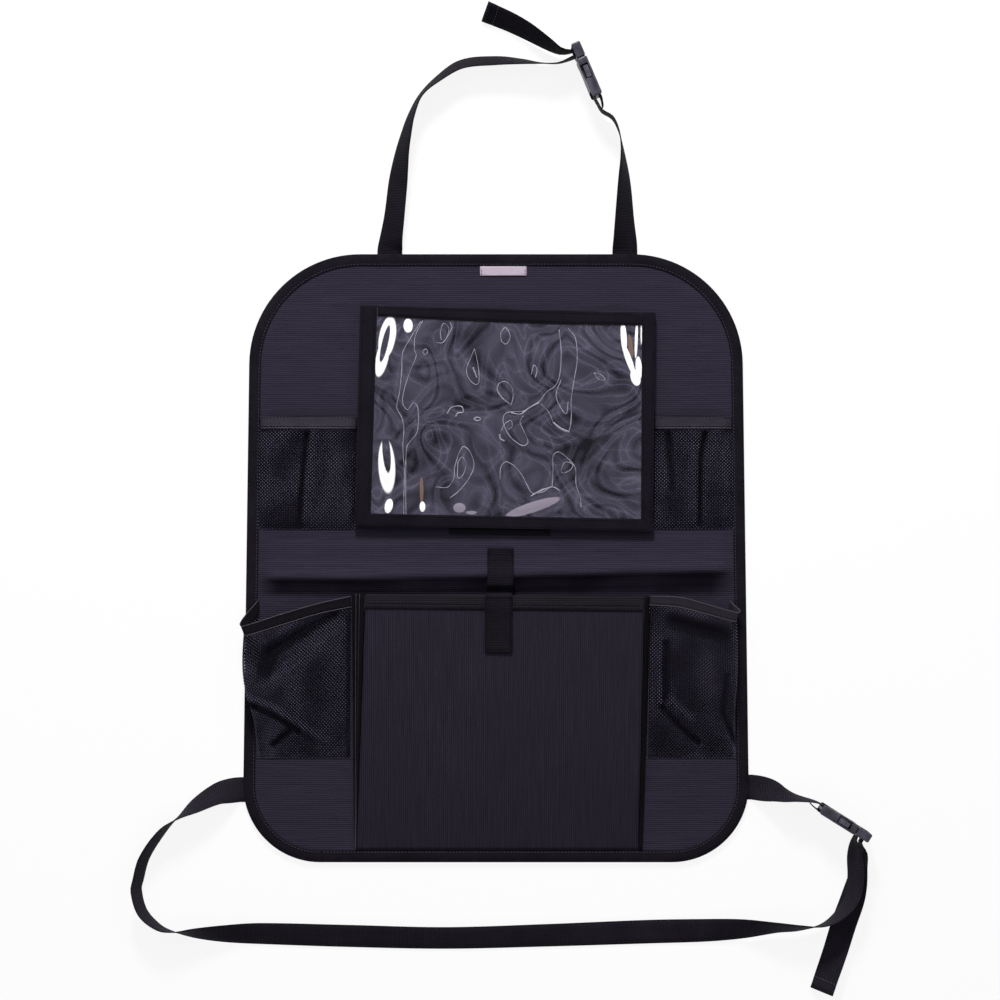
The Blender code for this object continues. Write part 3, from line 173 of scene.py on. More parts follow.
# Middle pocket
CENTRE_TOP_LEFT = (-0.1295, -0.0352)
CENTRE_TOP_RIGHT = (0.1476, -0.0380)
CENTRE_BOTTOM_X = (-0.1390, 0.1420)
CENTRE_DEPTH = 0.0125
CENTRE_BULGE = 0.0022
CENTRE_HEM = 0.0140
CENTRE_BOTTOM_Y = -PANEL_HEIGHT / 2 + BINDING_WIDTH + SEAT_GAP
CENTRE_LENGTH = CENTRE_TOP_LEFT[1] - CENTRE_BOTTOM_Y
# Its folded side strips: name, side, reach at mouth and foot, flat width and the folds that show an edge
GUSSETS = (
    ("left", -1, (0.0140, 0.0022), 0.032, ("outer", "inner")),
    ("right", 1, (0.0060, 0.0040), 0.024, ()),
)
GUSSET_PROFILE = ((1.0, 0.0), (0.72, 0.19), (0.45, 0.40), (0.22, 0.7), (0.06, 1.0))
GUSSET_PIPING = 0.00026

# Closure strap
CLOSURE_X = 0.0045
CLOSURE_LEAN = 0.0020
CLOSURE_WIDTH = 0.0262
CLOSURE_THICKNESS = 0.0014
CLOSURE_SLACK = 0.0006
# Radius of the black rims that paint the strap's shadow outline
CLOSURE_RIM = 0.0006
# y of its points on the mat and the fold, then y and rise above the mat down to the pocket's hem
CLOSURE_ON_MAT = (0.0102, 0.006, 0.002, -0.002, -0.006, -0.010, -0.0135)
CLOSURE_BELOW_FOLD = (
    (-0.0220, 0.0080), (-0.0272, 0.0072), (-0.0298, 0.0030), (-0.0316, 0.0014), (-0.0340, 0.0014),
    (-0.0352, 0.0050),
)
CLOSURE_END = -0.0922

# Webbing
WEBBING_WIDTH = 0.025
WEBBING_THICKNESS = 0.0012
WEBBING_SECTION = (
    (-1.0, 0.0), (-0.95, -0.75), (-0.5, -1.0), (0.0, -1.0), (0.5, -1.0), (0.95, -0.75),
    (1.0, 0.0), (0.95, 0.75), (0.5, 1.0), (0.0, 1.0), (-0.5, 1.0), (-0.95, 0.75),
)
STRAP_STEP = 0.004
HEM_FOLD_LENGTH = 0.012
HEM_FOLD_THICKNESS = 0.0030
FOLDED_EDGE_RADIUS = 0.0004
BUCKLE_REST = 0.003
BUCKLE_TURN = 0.00325
PLUG_BAR = 0.0080
SOCKET_BAR = 0.0551
TOP_BUCKLE = ((0.0785, 0.5118), (0.394, -0.919))
LOWER_BUCKLE = ((0.3710, -0.2778), (-0.848, 0.530))
TOP_STRAP_X = (-0.1063, 0.1290)
SIDE_STRAP_Y = (-0.2317, -0.2292)

STITCH_PITCH = 0.0034
CLOSE_PITCH = 0.0030
STITCHED_SPAN = (0.004, 0.996)
STITCH_LENGTH = 0.0026
STITCH_RADIUS = 0.00046
ON_CLOTH = 0.0001
PIPING_RADIUS = 0.00042
UPWARDS = (0.0, 0.0, 1.0)

# The photograph's view: the picture is 1 m wide where it is sharp
PICTURE_CENTRE = (0.004, 0.05825)
PICTURE_WIDTH = 1.0
PICTURE_HEIGHT = 0.004
CAMERA_LENS = 100
SENSOR_WIDTH = 36
LAMPS = (
    ("lamp_head", (-0.2, 2.25, 1.45), 0.5, 80), ("lamp_left", (-1.7, 1.0, 1.6), 1.0, 9),
    ("lamp_right", (1.7, 1.1, 1.6), 1.0, 9), ("lamp_foot", (0.2, -1.6, 2.6), 1.5, 15),
)
WORLD_STRENGTH = 0.13
FLOOR_REACH = 7
FLOOR_Z = -0.0006
FLOOR_GLOW = 0.88


def add_to_scene(name, data):
    obj = bpy.data.objects.new(name, data)
    bpy.context.scene.collection.objects.link(obj)
    return obj


def add_camera_and_lamps():
    """The photograph's view from straight above, and soft lamps."""
    data = bpy.data.cameras.new("camera")
    data.lens = CAMERA_LENS
    data.sensor_width = SENSOR_WIDTH
    camera = add_to_scene("camera", data)
    camera.location = (*PICTURE_CENTRE, CAMERA_LENS / SENSOR_WIDTH * PICTURE_WIDTH + PICTURE_HEIGHT)
    bpy.context.scene.camera = camera
    bpy.context.scene.view_settings.view_transform = "Standard"
    for name, place, size, power in LAMPS:
        light = bpy.data.lights.new(name, "AREA")
        light.size = size
        light.energy = power
        lamp = add_to_scene(name, light)
        lamp.location = place
        lamp.rotation_euler = (-lamp.location).to_track_quat("-Z", "Y").to_euler()


def add_world_and_floor():
    """A soft grey world and a pale floor. Both look white to the rays that see them."""
    world = bpy.data.worlds.new("studio")
    paper = bpy.data.materials.new("floor_paper")
    for owner in (world, paper):
        owner.use_nodes = True
        owner.node_tree.nodes.clear()
    bpy.context.scene.world = world
    tree = world.node_tree
    soft = add_node(tree, "ShaderNodeBackground", Color=(0.95, 0.96, 1.0, 1), Strength=WORLD_STRENGTH)
    white = add_node(tree, "ShaderNodeBackground", Color=(1, 1, 1, 1), Strength=1.0)
    mix_where_seen(tree, "ShaderNodeOutputWorld", soft, white, 1.0)
    tree = paper.node_tree
    plain = add_node(tree, "ShaderNodeBsdfDiffuse", Color=(0.97, 0.97, 0.97, 1))
    glow = add_node(tree, "ShaderNodeEmission", Color=(1, 1, 1, 1), Strength=1.0)
    mix_where_seen(tree, "ShaderNodeOutputMaterial", plain, glow, FLOOR_GLOW)
    corners = [(x * FLOOR_REACH, y * FLOOR_REACH, FLOOR_Z) for x, y in ((-1, -1), (1, -1), (1, 1), (-1, 1))]
    add_mesh("floor", corners, [(0, 1, 2, 3)], paper)


def add_node(tree, kind, **settings):
    """A node with inputs set or linked. _0 to _2 are inputs by number, lower-case names properties."""
    node = tree.nodes.new(kind)
    for key, value in settings.items():
        if key[0] == "_":
            socket = node.inputs[int(key[1:])]
        elif key[0].isupper():
            socket = node.inputs[key.replace("_", " ")]
        else:
            setattr(node, key, value)
            continue
        if isinstance(value, bpy.types.NodeSocket):
            tree.links.new(value, socket)
        else:
            socket.default_value = value
    return node


def mix_where_seen(tree, output, plain, bright, share):
    """Gives a share of bright to rays from the camera and from glossy and clear surfaces, else plain."""
    path = add_node(tree, "ShaderNodeLightPath").outputs
    seen = path["Is Camera Ray"]
    for ray in ("Is Glossy Ray", "Is Transmission Ray"):
        seen = add_node(tree, "ShaderNodeMath", operation="MAXIMUM", _0=seen, _1=path[ray]).outputs[0]
    seen = add_node(tree, "ShaderNodeMath", operation="MULTIPLY", _0=seen, _1=share)
    mix = add_node(tree, "ShaderNodeMixShader", _0=seen.outputs[0], _1=plain.outputs[0], _2=bright.outputs[0])
    add_node(tree, output, Surface=mix.outputs[0])


class Look:
    """A material on one Principled shader, with short calls for the nodes that feed it."""

    def __init__(self, name, roughness, **constants):
        self.material = bpy.data.materials.new(name)
        self.material.use_nodes = True
        self.tree = self.material.node_tree
        self.shader = self.tree.nodes["Principled BSDF"]
        self.shader.inputs["Roughness"].default_value = roughness
        for key, value in constants.items():
            self.shader.inputs[key.replace("_", " ")].default_value = value

    def add(self, kind, **settings):
        return add_node(self.tree, "ShaderNode" + kind, **settings)

    def place(self):
        return self.add("TexCoord").outputs["Object"]

    def weave_place(self):
        return self.add("Attribute", attribute_name="weave").outputs["Vector"]

    def math(self, operation, first, second=0.0, clamp=False):
        return self.add("Math", operation=operation, use_clamp=clamp, _0=first, _1=second).outputs[0]

    def times(self, first, second, clamp=False):
        return self.math("MULTIPLY", first, second, clamp)

    def plus(self, first, second, clamp=False):
        return self.math("ADD", first, second, clamp)

    def minus(self, first, second):
        return self.math("SUBTRACT", first, second)

    def noise(self, where, scale, detail=2.0, roughness=0.5, distortion=0.0):
        found = self.add("TexNoise", Vector=where, Scale=scale, Detail=detail, Roughness=roughness,
                         Distortion=distortion)
        return found.outputs["Fac"]

    def ribs(self, where, direction, period, distortion=0.0, detail_scale=1.0):
        """Even ridges a period apart."""
        found = self.add("TexWave", wave_type="BANDS", bands_direction=direction, wave_profile="SIN",
                         Vector=where, Scale=0.314159 / period, Distortion=distortion, Detail=1.0)
        found.inputs["Detail Scale"].default_value = detail_scale
        return found.outputs["Fac"]

    def range(self, value, low, high, to_low=0.0, to_high=1.0):
        found = self.add("MapRange", Value=value, From_Min=low, From_Max=high, To_Min=to_low, To_Max=to_high)
        return found.outputs["Result"]

    def mix(self, share, first, second):
        found = self.add("Mix", data_type="RGBA")
        for socket, value in ((found.inputs[0], share), (found.inputs[6], first), (found.inputs[7], second)):
            if isinstance(value, bpy.types.NodeSocket):
                self.tree.links.new(value, socket)
            elif socket.type == "RGBA":
                socket.default_value = (*value, 1)
            else:
                socket.default_value = value
        return found.outputs[2]

    def colour(self, value):
        self.tree.links.new(value, self.shader.inputs["Base Color"])

    def roughness(self, source, low, high):
        """Roughness from low to high, as a noise source runs over its usual range."""
        self.tree.links.new(self.range(source, 0.3, 0.7, low, high), self.shader.inputs["Roughness"])

    def bump(self, height, distance, strength=1.0):
        found = self.add("Bump", Height=height, Distance=distance, Strength=strength)
        self.tree.links.new(found.outputs["Normal"], self.shader.inputs["Normal"])


def painted_fold_shade(look, place):
    """Share of painted shade in the crease below the fold, from 0 to 0.9: the textile is darkened where the
    fold shades it.
    """
    split = look.add("SeparateXYZ", Vector=place).outputs
    lean = look.times(look.math("MAXIMUM", split["X"], -0.12), FOLD_LEAN)
    below = look.minus(look.minus(split["Y"], lean), FOLD_Y)
    upper = look.range(below, -0.0036, -0.0010, 1.0, 0.0)
    lower = look.range(split["Y"], -0.0400, -0.0335, 0.0, 1.0)
    ends = look.range(look.math("ABSOLUTE", split["X"]), 0.215, 0.245, 1.0, 0.0)
    uneven = look.range(look.noise(place, 16, 2), 0.3, 0.7, 0.60, 0.9)
    return look.times(look.times(upper, lower), look.times(ends, uneven))


def textile_look(name, ribs_along, tone, fold=False):
    """Coarse textile with ribs along the axis ribs_along. tone is its share of each colour."""
    look = Look(name, 0.9, Sheen_Weight=0.01, Sheen_Roughness=0.5, Specular_IOR_Level=0.02)
    place = look.place()
    across, along = ("Y", "X") if ribs_along == "X" else ("X", "Y")
    ribs = look.ribs(place, across, 0.0021, 1.1, 4.0)
    threads = look.ribs(place, along, 0.0012, 1.6, 5.0)
    fuzz = look.noise(place, 1400, 2)
    cloud = look.noise(place, 11, 3, 0.6)
    streak_map = look.add("Mapping", Vector=place)
    streak_map.inputs["Scale"].default_value = (22, 480, 1) if ribs_along == "X" else (480, 22, 1)
    streaks = look.noise(streak_map.outputs[0], 1.0, 2, 0.6)
    weave = look.times(ribs, look.range(threads, 0, 1, 0.62, 1.0))
    # Colour from dark to light: painted shade in the grooves between the ribs, with random streaks and fuzz in
    # the tone.
    groove_shade_and_tone = look.plus(look.times(weave, 0.48), look.times(streaks, 0.60))
    groove_shade_and_tone = look.plus(groove_shade_and_tone, look.times(look.minus(fuzz, 0.5), 0.35), True)
    dark, light, faded = (
        [share * part for share, part in zip(tone, colour)]
        for colour in ((0.0078, 0.0066, 0.0112), (0.0480, 0.0405, 0.0668), (0.0215, 0.0183, 0.0300)))
    base = look.mix(look.range(cloud, 0.35, 0.7, 0, 0.3), look.mix(groove_shade_and_tone, dark, light), faded)
    # With fold, the crease below the mat's fold is mixed towards a dark colour: painted shade.
    if fold:
        base = look.mix(painted_fold_shade(look, place), base, (0.0045, 0.0036, 0.0062))
    look.colour(base)
    look.roughness(fuzz, 0.82, 0.95)
    height = look.plus(weave, look.times(fuzz, 0.4))
    look.bump(height, 0.00035, 0.7)
    return look.material


def tape_look(name, dark, light, pitch, roughness=0.7, bump=0.0003):
    """Woven tape or webbing: fine ribs across its length, from the piece's own weave directions."""
    look = Look(name, roughness, Sheen_Weight=0.01, Sheen_Roughness=0.5, Specular_IOR_Level=0.03)
    weave_place = look.weave_place()
    ribs = look.ribs(weave_place, "Y", pitch, 0.6, 3.0)
    cords = look.ribs(weave_place, "X", pitch * 1.7, 0.8, 3.0)
    fuzz = look.noise(look.place(), 1500, 2)
    cloud = look.noise(look.place(), 28, 3, 0.6)
    weave = look.times(ribs, look.range(cords, 0, 1, 0.6, 1.0))
    # Colour from dark to light: painted shade between the ribs, with random fuzz and cloud in the tone.
    groove_shade_and_tone = look.plus(look.times(weave, 0.6), look.times(fuzz, 0.35))
    groove_shade_and_tone = look.plus(groove_shade_and_tone, look.times(look.minus(cloud, 0.5), 0.5), True)
    look.colour(look.mix(groove_shade_and_tone, dark, light))
    look.roughness(fuzz, roughness - 0.08, roughness + 0.08)
    look.bump(look.plus(weave, look.times(fuzz, 0.35)), bump, 0.8)
    return look.material


def net_look():
    """Black net yarn, with knots painted lighter as highlights where the piece's weave attribute says so."""
    look = Look("black_net_yarn", 0.7, Specular_IOR_Level=0.05)
    place = look.place()
    yarn = look.noise(place, 2200, 2)
    cloud = look.noise(place, 24, 3, 0.6)
    base = look.mix(yarn, (0.0015, 0.0013, 0.0022), (0.0060, 0.0052, 0.0085))
    base = look.mix(look.range(cloud, 0.4, 0.7, 0, 0.5), base, (0.0070, 0.0062, 0.0100))
    # Painted highlights: the black yarn's knots get a light grey colour.
    knot_highlight = look.mix(cloud, (0.0660, 0.0600, 0.0960), (0.1660, 0.1520, 0.2260))
    is_knot = look.add("SeparateXYZ", Vector=look.weave_place()).outputs["X"]
    look.colour(look.mix(is_knot, base, knot_highlight))
    look.roughness(yarn, 0.6, 0.8)
    look.bump(yarn, 0.0002, 0.7)
    return look.material


def thread_look(name, dark, light):
    """Twisted thread, also for piping and creases."""
    look = Look(name, 0.6, Specular_IOR_Level=0.06)
    twist = look.noise(look.place(), 1800, 2)
    look.colour(look.mix(twist, dark, light))
    look.roughness(twist, 0.42, 0.6)
    look.bump(twist, 0.0001, 0.6)
    return look.material


def plastic_look():
    """Moulded black plastic with a fine grain, lighter on sharp edges as rubbed wear and painted highlights."""
    look = Look("black_moulded_plastic", 0.42, Specular_IOR_Level=0.12)
    place = look.place()
    grain = look.noise(place, 1700, 3, 0.6)
    cloud = look.noise(place, 60, 3, 0.6)
    # Lighter on sharp edges: partly rubbed wear, partly painted edge highlight.
    edge = look.range(look.add("NewGeometry").outputs["Pointiness"], 0.52, 0.62, 0, 0.75)
    rubbed_and_highlit = look.times(edge, look.range(cloud, 0.35, 0.65, 0.3, 1.0))
    base = look.mix(cloud, (0.0040, 0.0036, 0.0058), (0.0130, 0.0118, 0.0176))
    look.colour(look.mix(rubbed_and_highlit, base, (0.1500, 0.1400, 0.1900)))
    look.roughness(grain, 0.28, 0.46)
    look.bump(grain, 0.0001, 0.5)
    return look.material


def label_look():
    """Pale woven satin, with no print on it."""
    look = Look("label_satin", 0.5, Sheen_Weight=0.2, Specular_IOR_Level=0.4)
    place = look.place()
    ribs = look.ribs(place, "Y", 0.0006, 0.8, 4.0)
    warp = look.ribs(place, "X", 0.0009, 0.8, 4.0)
    fuzz = look.noise(place, 1800, 2)
    weave = look.times(ribs, look.range(warp, 0, 1, 0.7, 1.0))
    # Colour from dark to light: painted shade between the ribs, with random fuzz in the tone.
    groove_shade_and_tone = look.plus(look.times(weave, 0.5), look.times(fuzz, 0.5), True)
    look.colour(look.mix(groove_shade_and_tone, (0.30, 0.240, 0.300), (0.54, 0.440, 0.535)))
    look.roughness(fuzz, 0.42, 0.6)
    look.bump(weave, 0.00015, 0.7)
    return look.material


# Painted glints on the clear film, as ovals: kind, centre, half width and height, and turn in degrees.
# Bright ovals are painted highlights, lilac ones painted sheen and brown ones painted reflections.
# A hole is cut from the bright ovals before it.
PAINTED_GLINTS = (
    ("bright", (-0.1085, 0.2203), (0.0082, 0.0215), -10),
    ("bright", (-0.1135, 0.2003), (0.0062, 0.0195), -12),
    ("hole", (-0.1108, 0.2143), (0.0032, 0.0190), -13),
    ("bright", (-0.0877, 0.2323), (0.0046, 0.0070), 0),
    ("bright", (0.1275, 0.2203), (0.0030, 0.0165), 4), ("bright", (0.1325, 0.1983), (0.0030, 0.0175), 20),
    ("bright", (0.1392, 0.1805), (0.0048, 0.0085), 15), ("bright", (0.1400, 0.2180), (0.0015, 0.0185), -2),
    ("bright", (0.1425, 0.1900), (0.0032, 0.0115), 4), ("bright", (0.1450, 0.2243), (0.0008, 0.0110), 0),
    ("bright", (-0.1090, 0.0920), (0.0084, 0.0270), 3), ("hole", (-0.1093, 0.1063), (0.0040, 0.0210), 5),
    ("bright", (-0.1070, 0.0523), (0.0040, 0.0073), -12),
    ("bright", (-0.0734, 0.0516), (0.0029, 0.0052), 0),
    ("brown_reflection", (-0.0742, 0.0680), (0.0019, 0.0130), 0), ("brown_reflection", (0.1343, 0.2120), (0.0024, 0.0115), 8),
    ("lilac_sheen", (-0.0365, 0.0505), (0.0062, 0.0048), 0), ("lilac_sheen", (-0.0245, 0.0457), (0.0055, 0.0018), 0),
    ("lilac_sheen", (0.0370, 0.0512), (0.0285, 0.0052), 18),
)

# Creases in the film, drawn pale as painted highlights, as points from end to end: long ones, thick ones
# and small rings
FILM_CREASES = (
    (
        (-0.0730, 0.2372), (-0.0800, 0.2233), (-0.0815, 0.2082), (-0.0795, 0.2023), (-0.0860, 0.1862),
        (-0.0920, 0.1663), (-0.0930, 0.1542), (-0.0880, 0.1482), (-0.0824, 0.1552), (-0.0780, 0.1502),
        (-0.0786, 0.1263), (-0.0850, 0.1172), (-0.0890, 0.1113), (-0.0900, 0.0882), (-0.0900, 0.0583),
        (-0.0895, 0.0343),
    ),
    (
        (-0.0750, 0.2362), (-0.0850, 0.2203), (-0.0930, 0.2052), (-0.0940, 0.1883), (-0.0960, 0.1673),
        (-0.0990, 0.1502), (-0.0940, 0.1403), (-0.0920, 0.1283), (-0.0930, 0.1113), (-0.0915, 0.0882),
        (-0.0920, 0.0583), (-0.0920, 0.0382),
    ),
    (
        (-0.0590, 0.2152), (-0.0530, 0.2152), (-0.0480, 0.2223), (-0.0440, 0.2303), (-0.0460, 0.2352),
    ),
    (
        (-0.0215, 0.2092), (-0.0260, 0.1983), (-0.0295, 0.1883), (-0.0270, 0.1792), (-0.0200, 0.1732),
        (-0.0170, 0.1762), (-0.0180, 0.1933), (-0.0215, 0.2092),
    ),
    (
        (0.0150, 0.1532), (0.0060, 0.1603), (0.0010, 0.1693), (0.0040, 0.1752), (0.0100, 0.1762),
        (0.0160, 0.1703), (0.0170, 0.1603), (0.0150, 0.1532),
    ),
    (
        (0.0150, 0.1462), (0.0090, 0.1442), (0.0070, 0.1373), (0.0120, 0.1242), (0.0210, 0.1153),
        (0.0280, 0.1123), (0.0320, 0.1163), (0.0280, 0.1263), (0.0240, 0.1363), (0.0270, 0.1422),
    ),
    (
        (0.0150, 0.1462), (0.0280, 0.1472), (0.0380, 0.1532), (0.0440, 0.1573), (0.0500, 0.1653),
        (0.0600, 0.1732), (0.0640, 0.1862), (0.0650, 0.2082), (0.0630, 0.2283),
    ),
    (
        (0.0450, 0.1542), (0.0530, 0.1452), (0.0580, 0.1343), (0.0650, 0.1283), (0.0720, 0.1263),
        (0.0750, 0.1383), (0.0750, 0.1583), (0.0780, 0.1782), (0.0810, 0.1983), (0.0790, 0.2203),
        (0.0720, 0.2293),
    ),
    (
        (0.0650, 0.1782), (0.0600, 0.1633), (0.0640, 0.1512), (0.0700, 0.1442), (0.0720, 0.1562),
    ),
    (
        (0.0040, 0.0783), (0.0050, 0.0912), (0.0100, 0.0963), (0.0180, 0.0922), (0.0250, 0.0843),
        (0.0310, 0.0732), (0.0360, 0.0653), (0.0470, 0.0663), (0.0560, 0.0712), (0.0640, 0.0673),
    ),
    (
        (0.0560, 0.0712), (0.0570, 0.0882), (0.0570, 0.1022), (0.0620, 0.1062), (0.0710, 0.1003),
        (0.0790, 0.0902), (0.0800, 0.0732), (0.0840, 0.0612), (0.0850, 0.0503),
    ),
    (
        (-0.0600, 0.0712), (-0.0480, 0.0712), (-0.0420, 0.0803), (-0.0410, 0.0922), (-0.0330, 0.1113),
        (-0.0260, 0.1062), (-0.0220, 0.0922), (-0.0280, 0.0783), (-0.0380, 0.0663), (-0.0460, 0.0602),
    ),
    (
        (0.0050, 0.1273), (0.0090, 0.1343), (0.0150, 0.1373), (0.0160, 0.1313), (0.0120, 0.1283),
    ),
)
THICK_CREASES = (
    ((0.0150, 0.1452), (0.0247, 0.1440), (0.0330, 0.1500), (0.0429, 0.1554)),
    ((0.0572, 0.1354), (0.0640, 0.1300), (0.0735, 0.1258)),
    ((0.0343, 0.0617), (0.0440, 0.0672), (0.0553, 0.0713)),
    (
        (-0.0490, 0.1440), (-0.0442, 0.1507), (-0.0346, 0.1516), (-0.0327, 0.1458), (-0.0380, 0.1450),
        (-0.0403, 0.1411),
    ),
    ((-0.0220, 0.1390), (-0.0190, 0.1372), (-0.0150, 0.1390), (-0.0190, 0.1408), (-0.0220, 0.1390)),
    ((0.0035, 0.1240), (0.0046, 0.1192), (0.0085, 0.1170)),
    ((-0.0230, 0.1905), (-0.0190, 0.1800)),
)
RING_CREASES = (
    (
        (0.0046, 0.2253), (0.0056, 0.2167), (0.0104, 0.2139), (0.0142, 0.2215), (0.0094, 0.2301),
        (0.0046, 0.2253),
    ),
    ((-0.0545, 0.2175), (-0.0555, 0.2260), (-0.0520, 0.2345), (-0.0470, 0.2290), (-0.0500, 0.2190)),
    (
        (0.0650, 0.0880), (0.0690, 0.0960), (0.0765, 0.0935), (0.0740, 0.0880), (0.0660, 0.0850),
        (0.0650, 0.0880),
    ),
    ((-0.0735, 0.2060), (-0.0700, 0.2090), (-0.0680, 0.2060), (-0.0710, 0.2030), (-0.0735, 0.2060)),
    (
        (-0.0380, 0.0960), (-0.0340, 0.1010), (-0.0300, 0.0960), (-0.0330, 0.0830), (-0.0380, 0.0800),
        (-0.0380, 0.0960),
    ),
    ((0.0350, 0.1830), (0.0380, 0.1930), (0.0410, 0.1880), (0.0390, 0.1800)),
    ((0.0980, 0.1850), (0.1050, 0.1830), (0.1090, 0.1780), (0.1020, 0.1790), (0.0980, 0.1850)),
)
CREASE_RADIUS = 0.00036
THICK_CREASE_RADIUS = 0.00075


def oval_mask(look, place, centre, half_size, turn):
    """1 inside an oval on the film, 0 outside, with a soft rim."""
    oval = look.add("Mapping", vector_type="TEXTURE", Vector=place)
    oval.inputs["Location"].default_value = (*centre, FILM_HIGH)
    oval.inputs["Rotation"].default_value = (0, 0, math.radians(turn))
    oval.inputs["Scale"].default_value = (*half_size, 1.0)
    size = look.add("VectorMath", operation="LENGTH", _0=oval.outputs[0]).outputs["Value"]
    return look.range(size, 0.94, 1.05, 1, 0)


def film_look():
    """Clear soft plastic that reflects.

    Its colour holds painted reflections of its slack, as pale contour lines, and painted glints.
    """
    look = Look("clear_film", 0.12, IOR=1.5, Specular_IOR_Level=0.2)
    place = look.place()
    flat_map = look.add("Mapping", Vector=place)
    flat_map.inputs["Scale"].default_value = (1, 1, 0.05)
    flat = flat_map.outputs[0]
    drift = look.add("TexNoise", Vector=flat, Scale=9.0, Detail=1.0)
    shift = look.add("VectorMath", operation="MULTIPLY_ADD", _0=drift.outputs["Color"],
                     _1=(0.060, 0.060, 0.0), _2=flat).outputs[0]
    # Painted reflections: contour bands of these noises stand for the lamps seen in the slack film, and set its
    # colour.
    swirl = look.noise(shift, 14, 1.2, 0.4, 0.5)
    patches = look.noise(flat, 26, 2)
    tone = look.range(look.noise(flat, 14, 2), 0.3, 0.7, 0.38, 0.70)
    for source, count, depth in ((swirl, 8.0, 0.30), (look.noise(shift, 21, 1.0, 0.4, 0.6), 5.0, 0.20)):
        contour = look.math("PINGPONG", look.times(source, count), 0.5)
        dark = look.range(contour, 0.02, 0.24, depth, 0.0)
        rim = look.range(look.math("ABSOLUTE", look.minus(contour, 0.31)), 0.0, 0.06, 0.42, 0.0)
        rim = look.times(rim, look.range(patches, 0.38, 0.62, 0.2, 1.0))
        tone = look.plus(look.minus(tone, dark), rim)
    # Painted glints: masks of ovals for white highlights, lilac sheen and brown reflections.
    painted_glint_masks = {}
    for kind, centre, half_size, turn in PAINTED_GLINTS:
        inside = oval_mask(look, place, centre, half_size, turn)
        if kind == "hole":
            painted_glint_masks["bright"] = look.times(painted_glint_masks["bright"], look.minus(1.0, inside))
        elif kind in painted_glint_masks:
            painted_glint_masks[kind] = look.math("MAXIMUM", painted_glint_masks[kind], inside)
        else:
            painted_glint_masks[kind] = inside
    body = look.mix(look.times(tone, 1.0, True), (0.003, 0.002, 0.008), (0.118, 0.110, 0.166))
    body = look.mix(painted_glint_masks["lilac_sheen"], body, (0.270, 0.235, 0.300))
    body = look.mix(painted_glint_masks["brown_reflection"], body, (0.170, 0.110, 0.085))
    look.colour(look.mix(painted_glint_masks["bright"], body, (1.0, 1.0, 1.0)))
    shapes = look.math("MAXIMUM", painted_glint_masks["bright"], look.math("MAXIMUM", painted_glint_masks["lilac_sheen"], painted_glint_masks["brown_reflection"]))
    alpha = look.range(shapes, 0.0, 1.0, 0.74, 0.98)
    look.tree.links.new(alpha, look.shader.inputs["Alpha"])
    look.roughness(look.noise(place, 40, 2), 0.10, 0.16)
    look.bump(swirl, 0.003, 0.3)
    return look.material


def add_mesh(name, points, faces, material, weave=None):
    mesh = bpy.data.meshes.new(name)
    points = np.asarray(points, float).reshape(-1, 3)
    mesh.from_pydata(points.tolist(), [], [[int(i) for i in face] for face in faces])
    if weave is not None:
        layer = mesh.attributes.new("weave", "FLOAT_VECTOR", "POINT")
        layer.data.foreach_set("vector", np.asarray(weave, np.float32).ravel())
    mesh.shade_smooth()
    mesh.materials.append(material)
    return add_to_scene(name, mesh)


def grid_faces(rows, columns, wrap=False):
    index = np.arange(rows * columns).reshape(rows, columns)
    if wrap:
        index = np.concatenate([index, index[:, :1]], axis=1)
    quads = (index[:-1, :-1], index[1:, :-1], index[1:, 1:], index[:-1, 1:])
    return np.stack(quads, -1).reshape(-1, 4)


def running_length(points, axis):
    steps = np.linalg.norm(np.diff(points, axis=axis), axis=-1)
    start = np.zeros_like(np.take(steps, [0], axis=axis))
    return np.concatenate([start, np.cumsum(steps, axis=axis)], axis=axis)


def weave_of(points):
    """Distance across and along the cloth for each point of a grid, so that a weave follows it."""
    across = running_length(points, 1)
    middle = points[:, [points.shape[1] // 2]]
    along = np.broadcast_to(running_length(middle, 0), across.shape)
    return np.stack([across, along, np.zeros_like(across)], -1)


def cloth(name, points, thickness, material, flip=False):
    """A sheet through a grid of points, with its thickness below them."""
    points = np.asarray(points, float)
    faces = grid_faces(*points.shape[:2])
    obj = add_mesh(name, points, faces[:, ::-1] if flip else faces, material, weave_of(points))
    solid = obj.modifiers.new("thickness", "SOLIDIFY")
    solid.thickness = thickness
    solid.offset = -1.0
    return obj


def tube(name, sections, material, cyclic=False, sharp=None):
    """A closed solid through like sections of points, a ring of them or a run with a cap at each end."""
    sections = np.asarray(sections, float)
    if cyclic:
        sections = np.concatenate([sections, sections[:1]])
    count, size = sections.shape[:2]
    weave = weave_of(sections)
    faces = grid_faces(count, size, wrap=True)
    points = sections.reshape(-1, 3)
    if cyclic:
        faces = faces % ((count - 1) * size)
        points, weave = points[:(count - 1) * size], weave.reshape(-1, 3)[:(count - 1) * size]
        caps = []
    else:
        caps = [list(range(size)), list(range(count * size - 1, (count - 1) * size - 1, -1))]
    a, b, c = points[faces[:, 0]], points[faces[:, 1]], points[faces[:, 2]]
    d = points[faces[:, 3]]
    volume = (np.cross(a, b) * c).sum() + (np.cross(a, c) * d).sum()
    if volume < 0:
        faces = faces[:, ::-1]
    faces = [list(face) for face in faces]
    edges = {(p, q) for face in faces for p, q in zip(face, face[1:] + face[:1])} if caps else set()
    for cap in caps:
        clash = not edges.isdisjoint(zip(cap, cap[1:] + cap[:1]))
        faces.append(cap[::-1] if clash else cap)
    obj = add_mesh(name, points, faces, material, weave)
    if sharp is not None:
        obj.data.set_sharp_from_angle(angle=math.radians(sharp))
    return obj


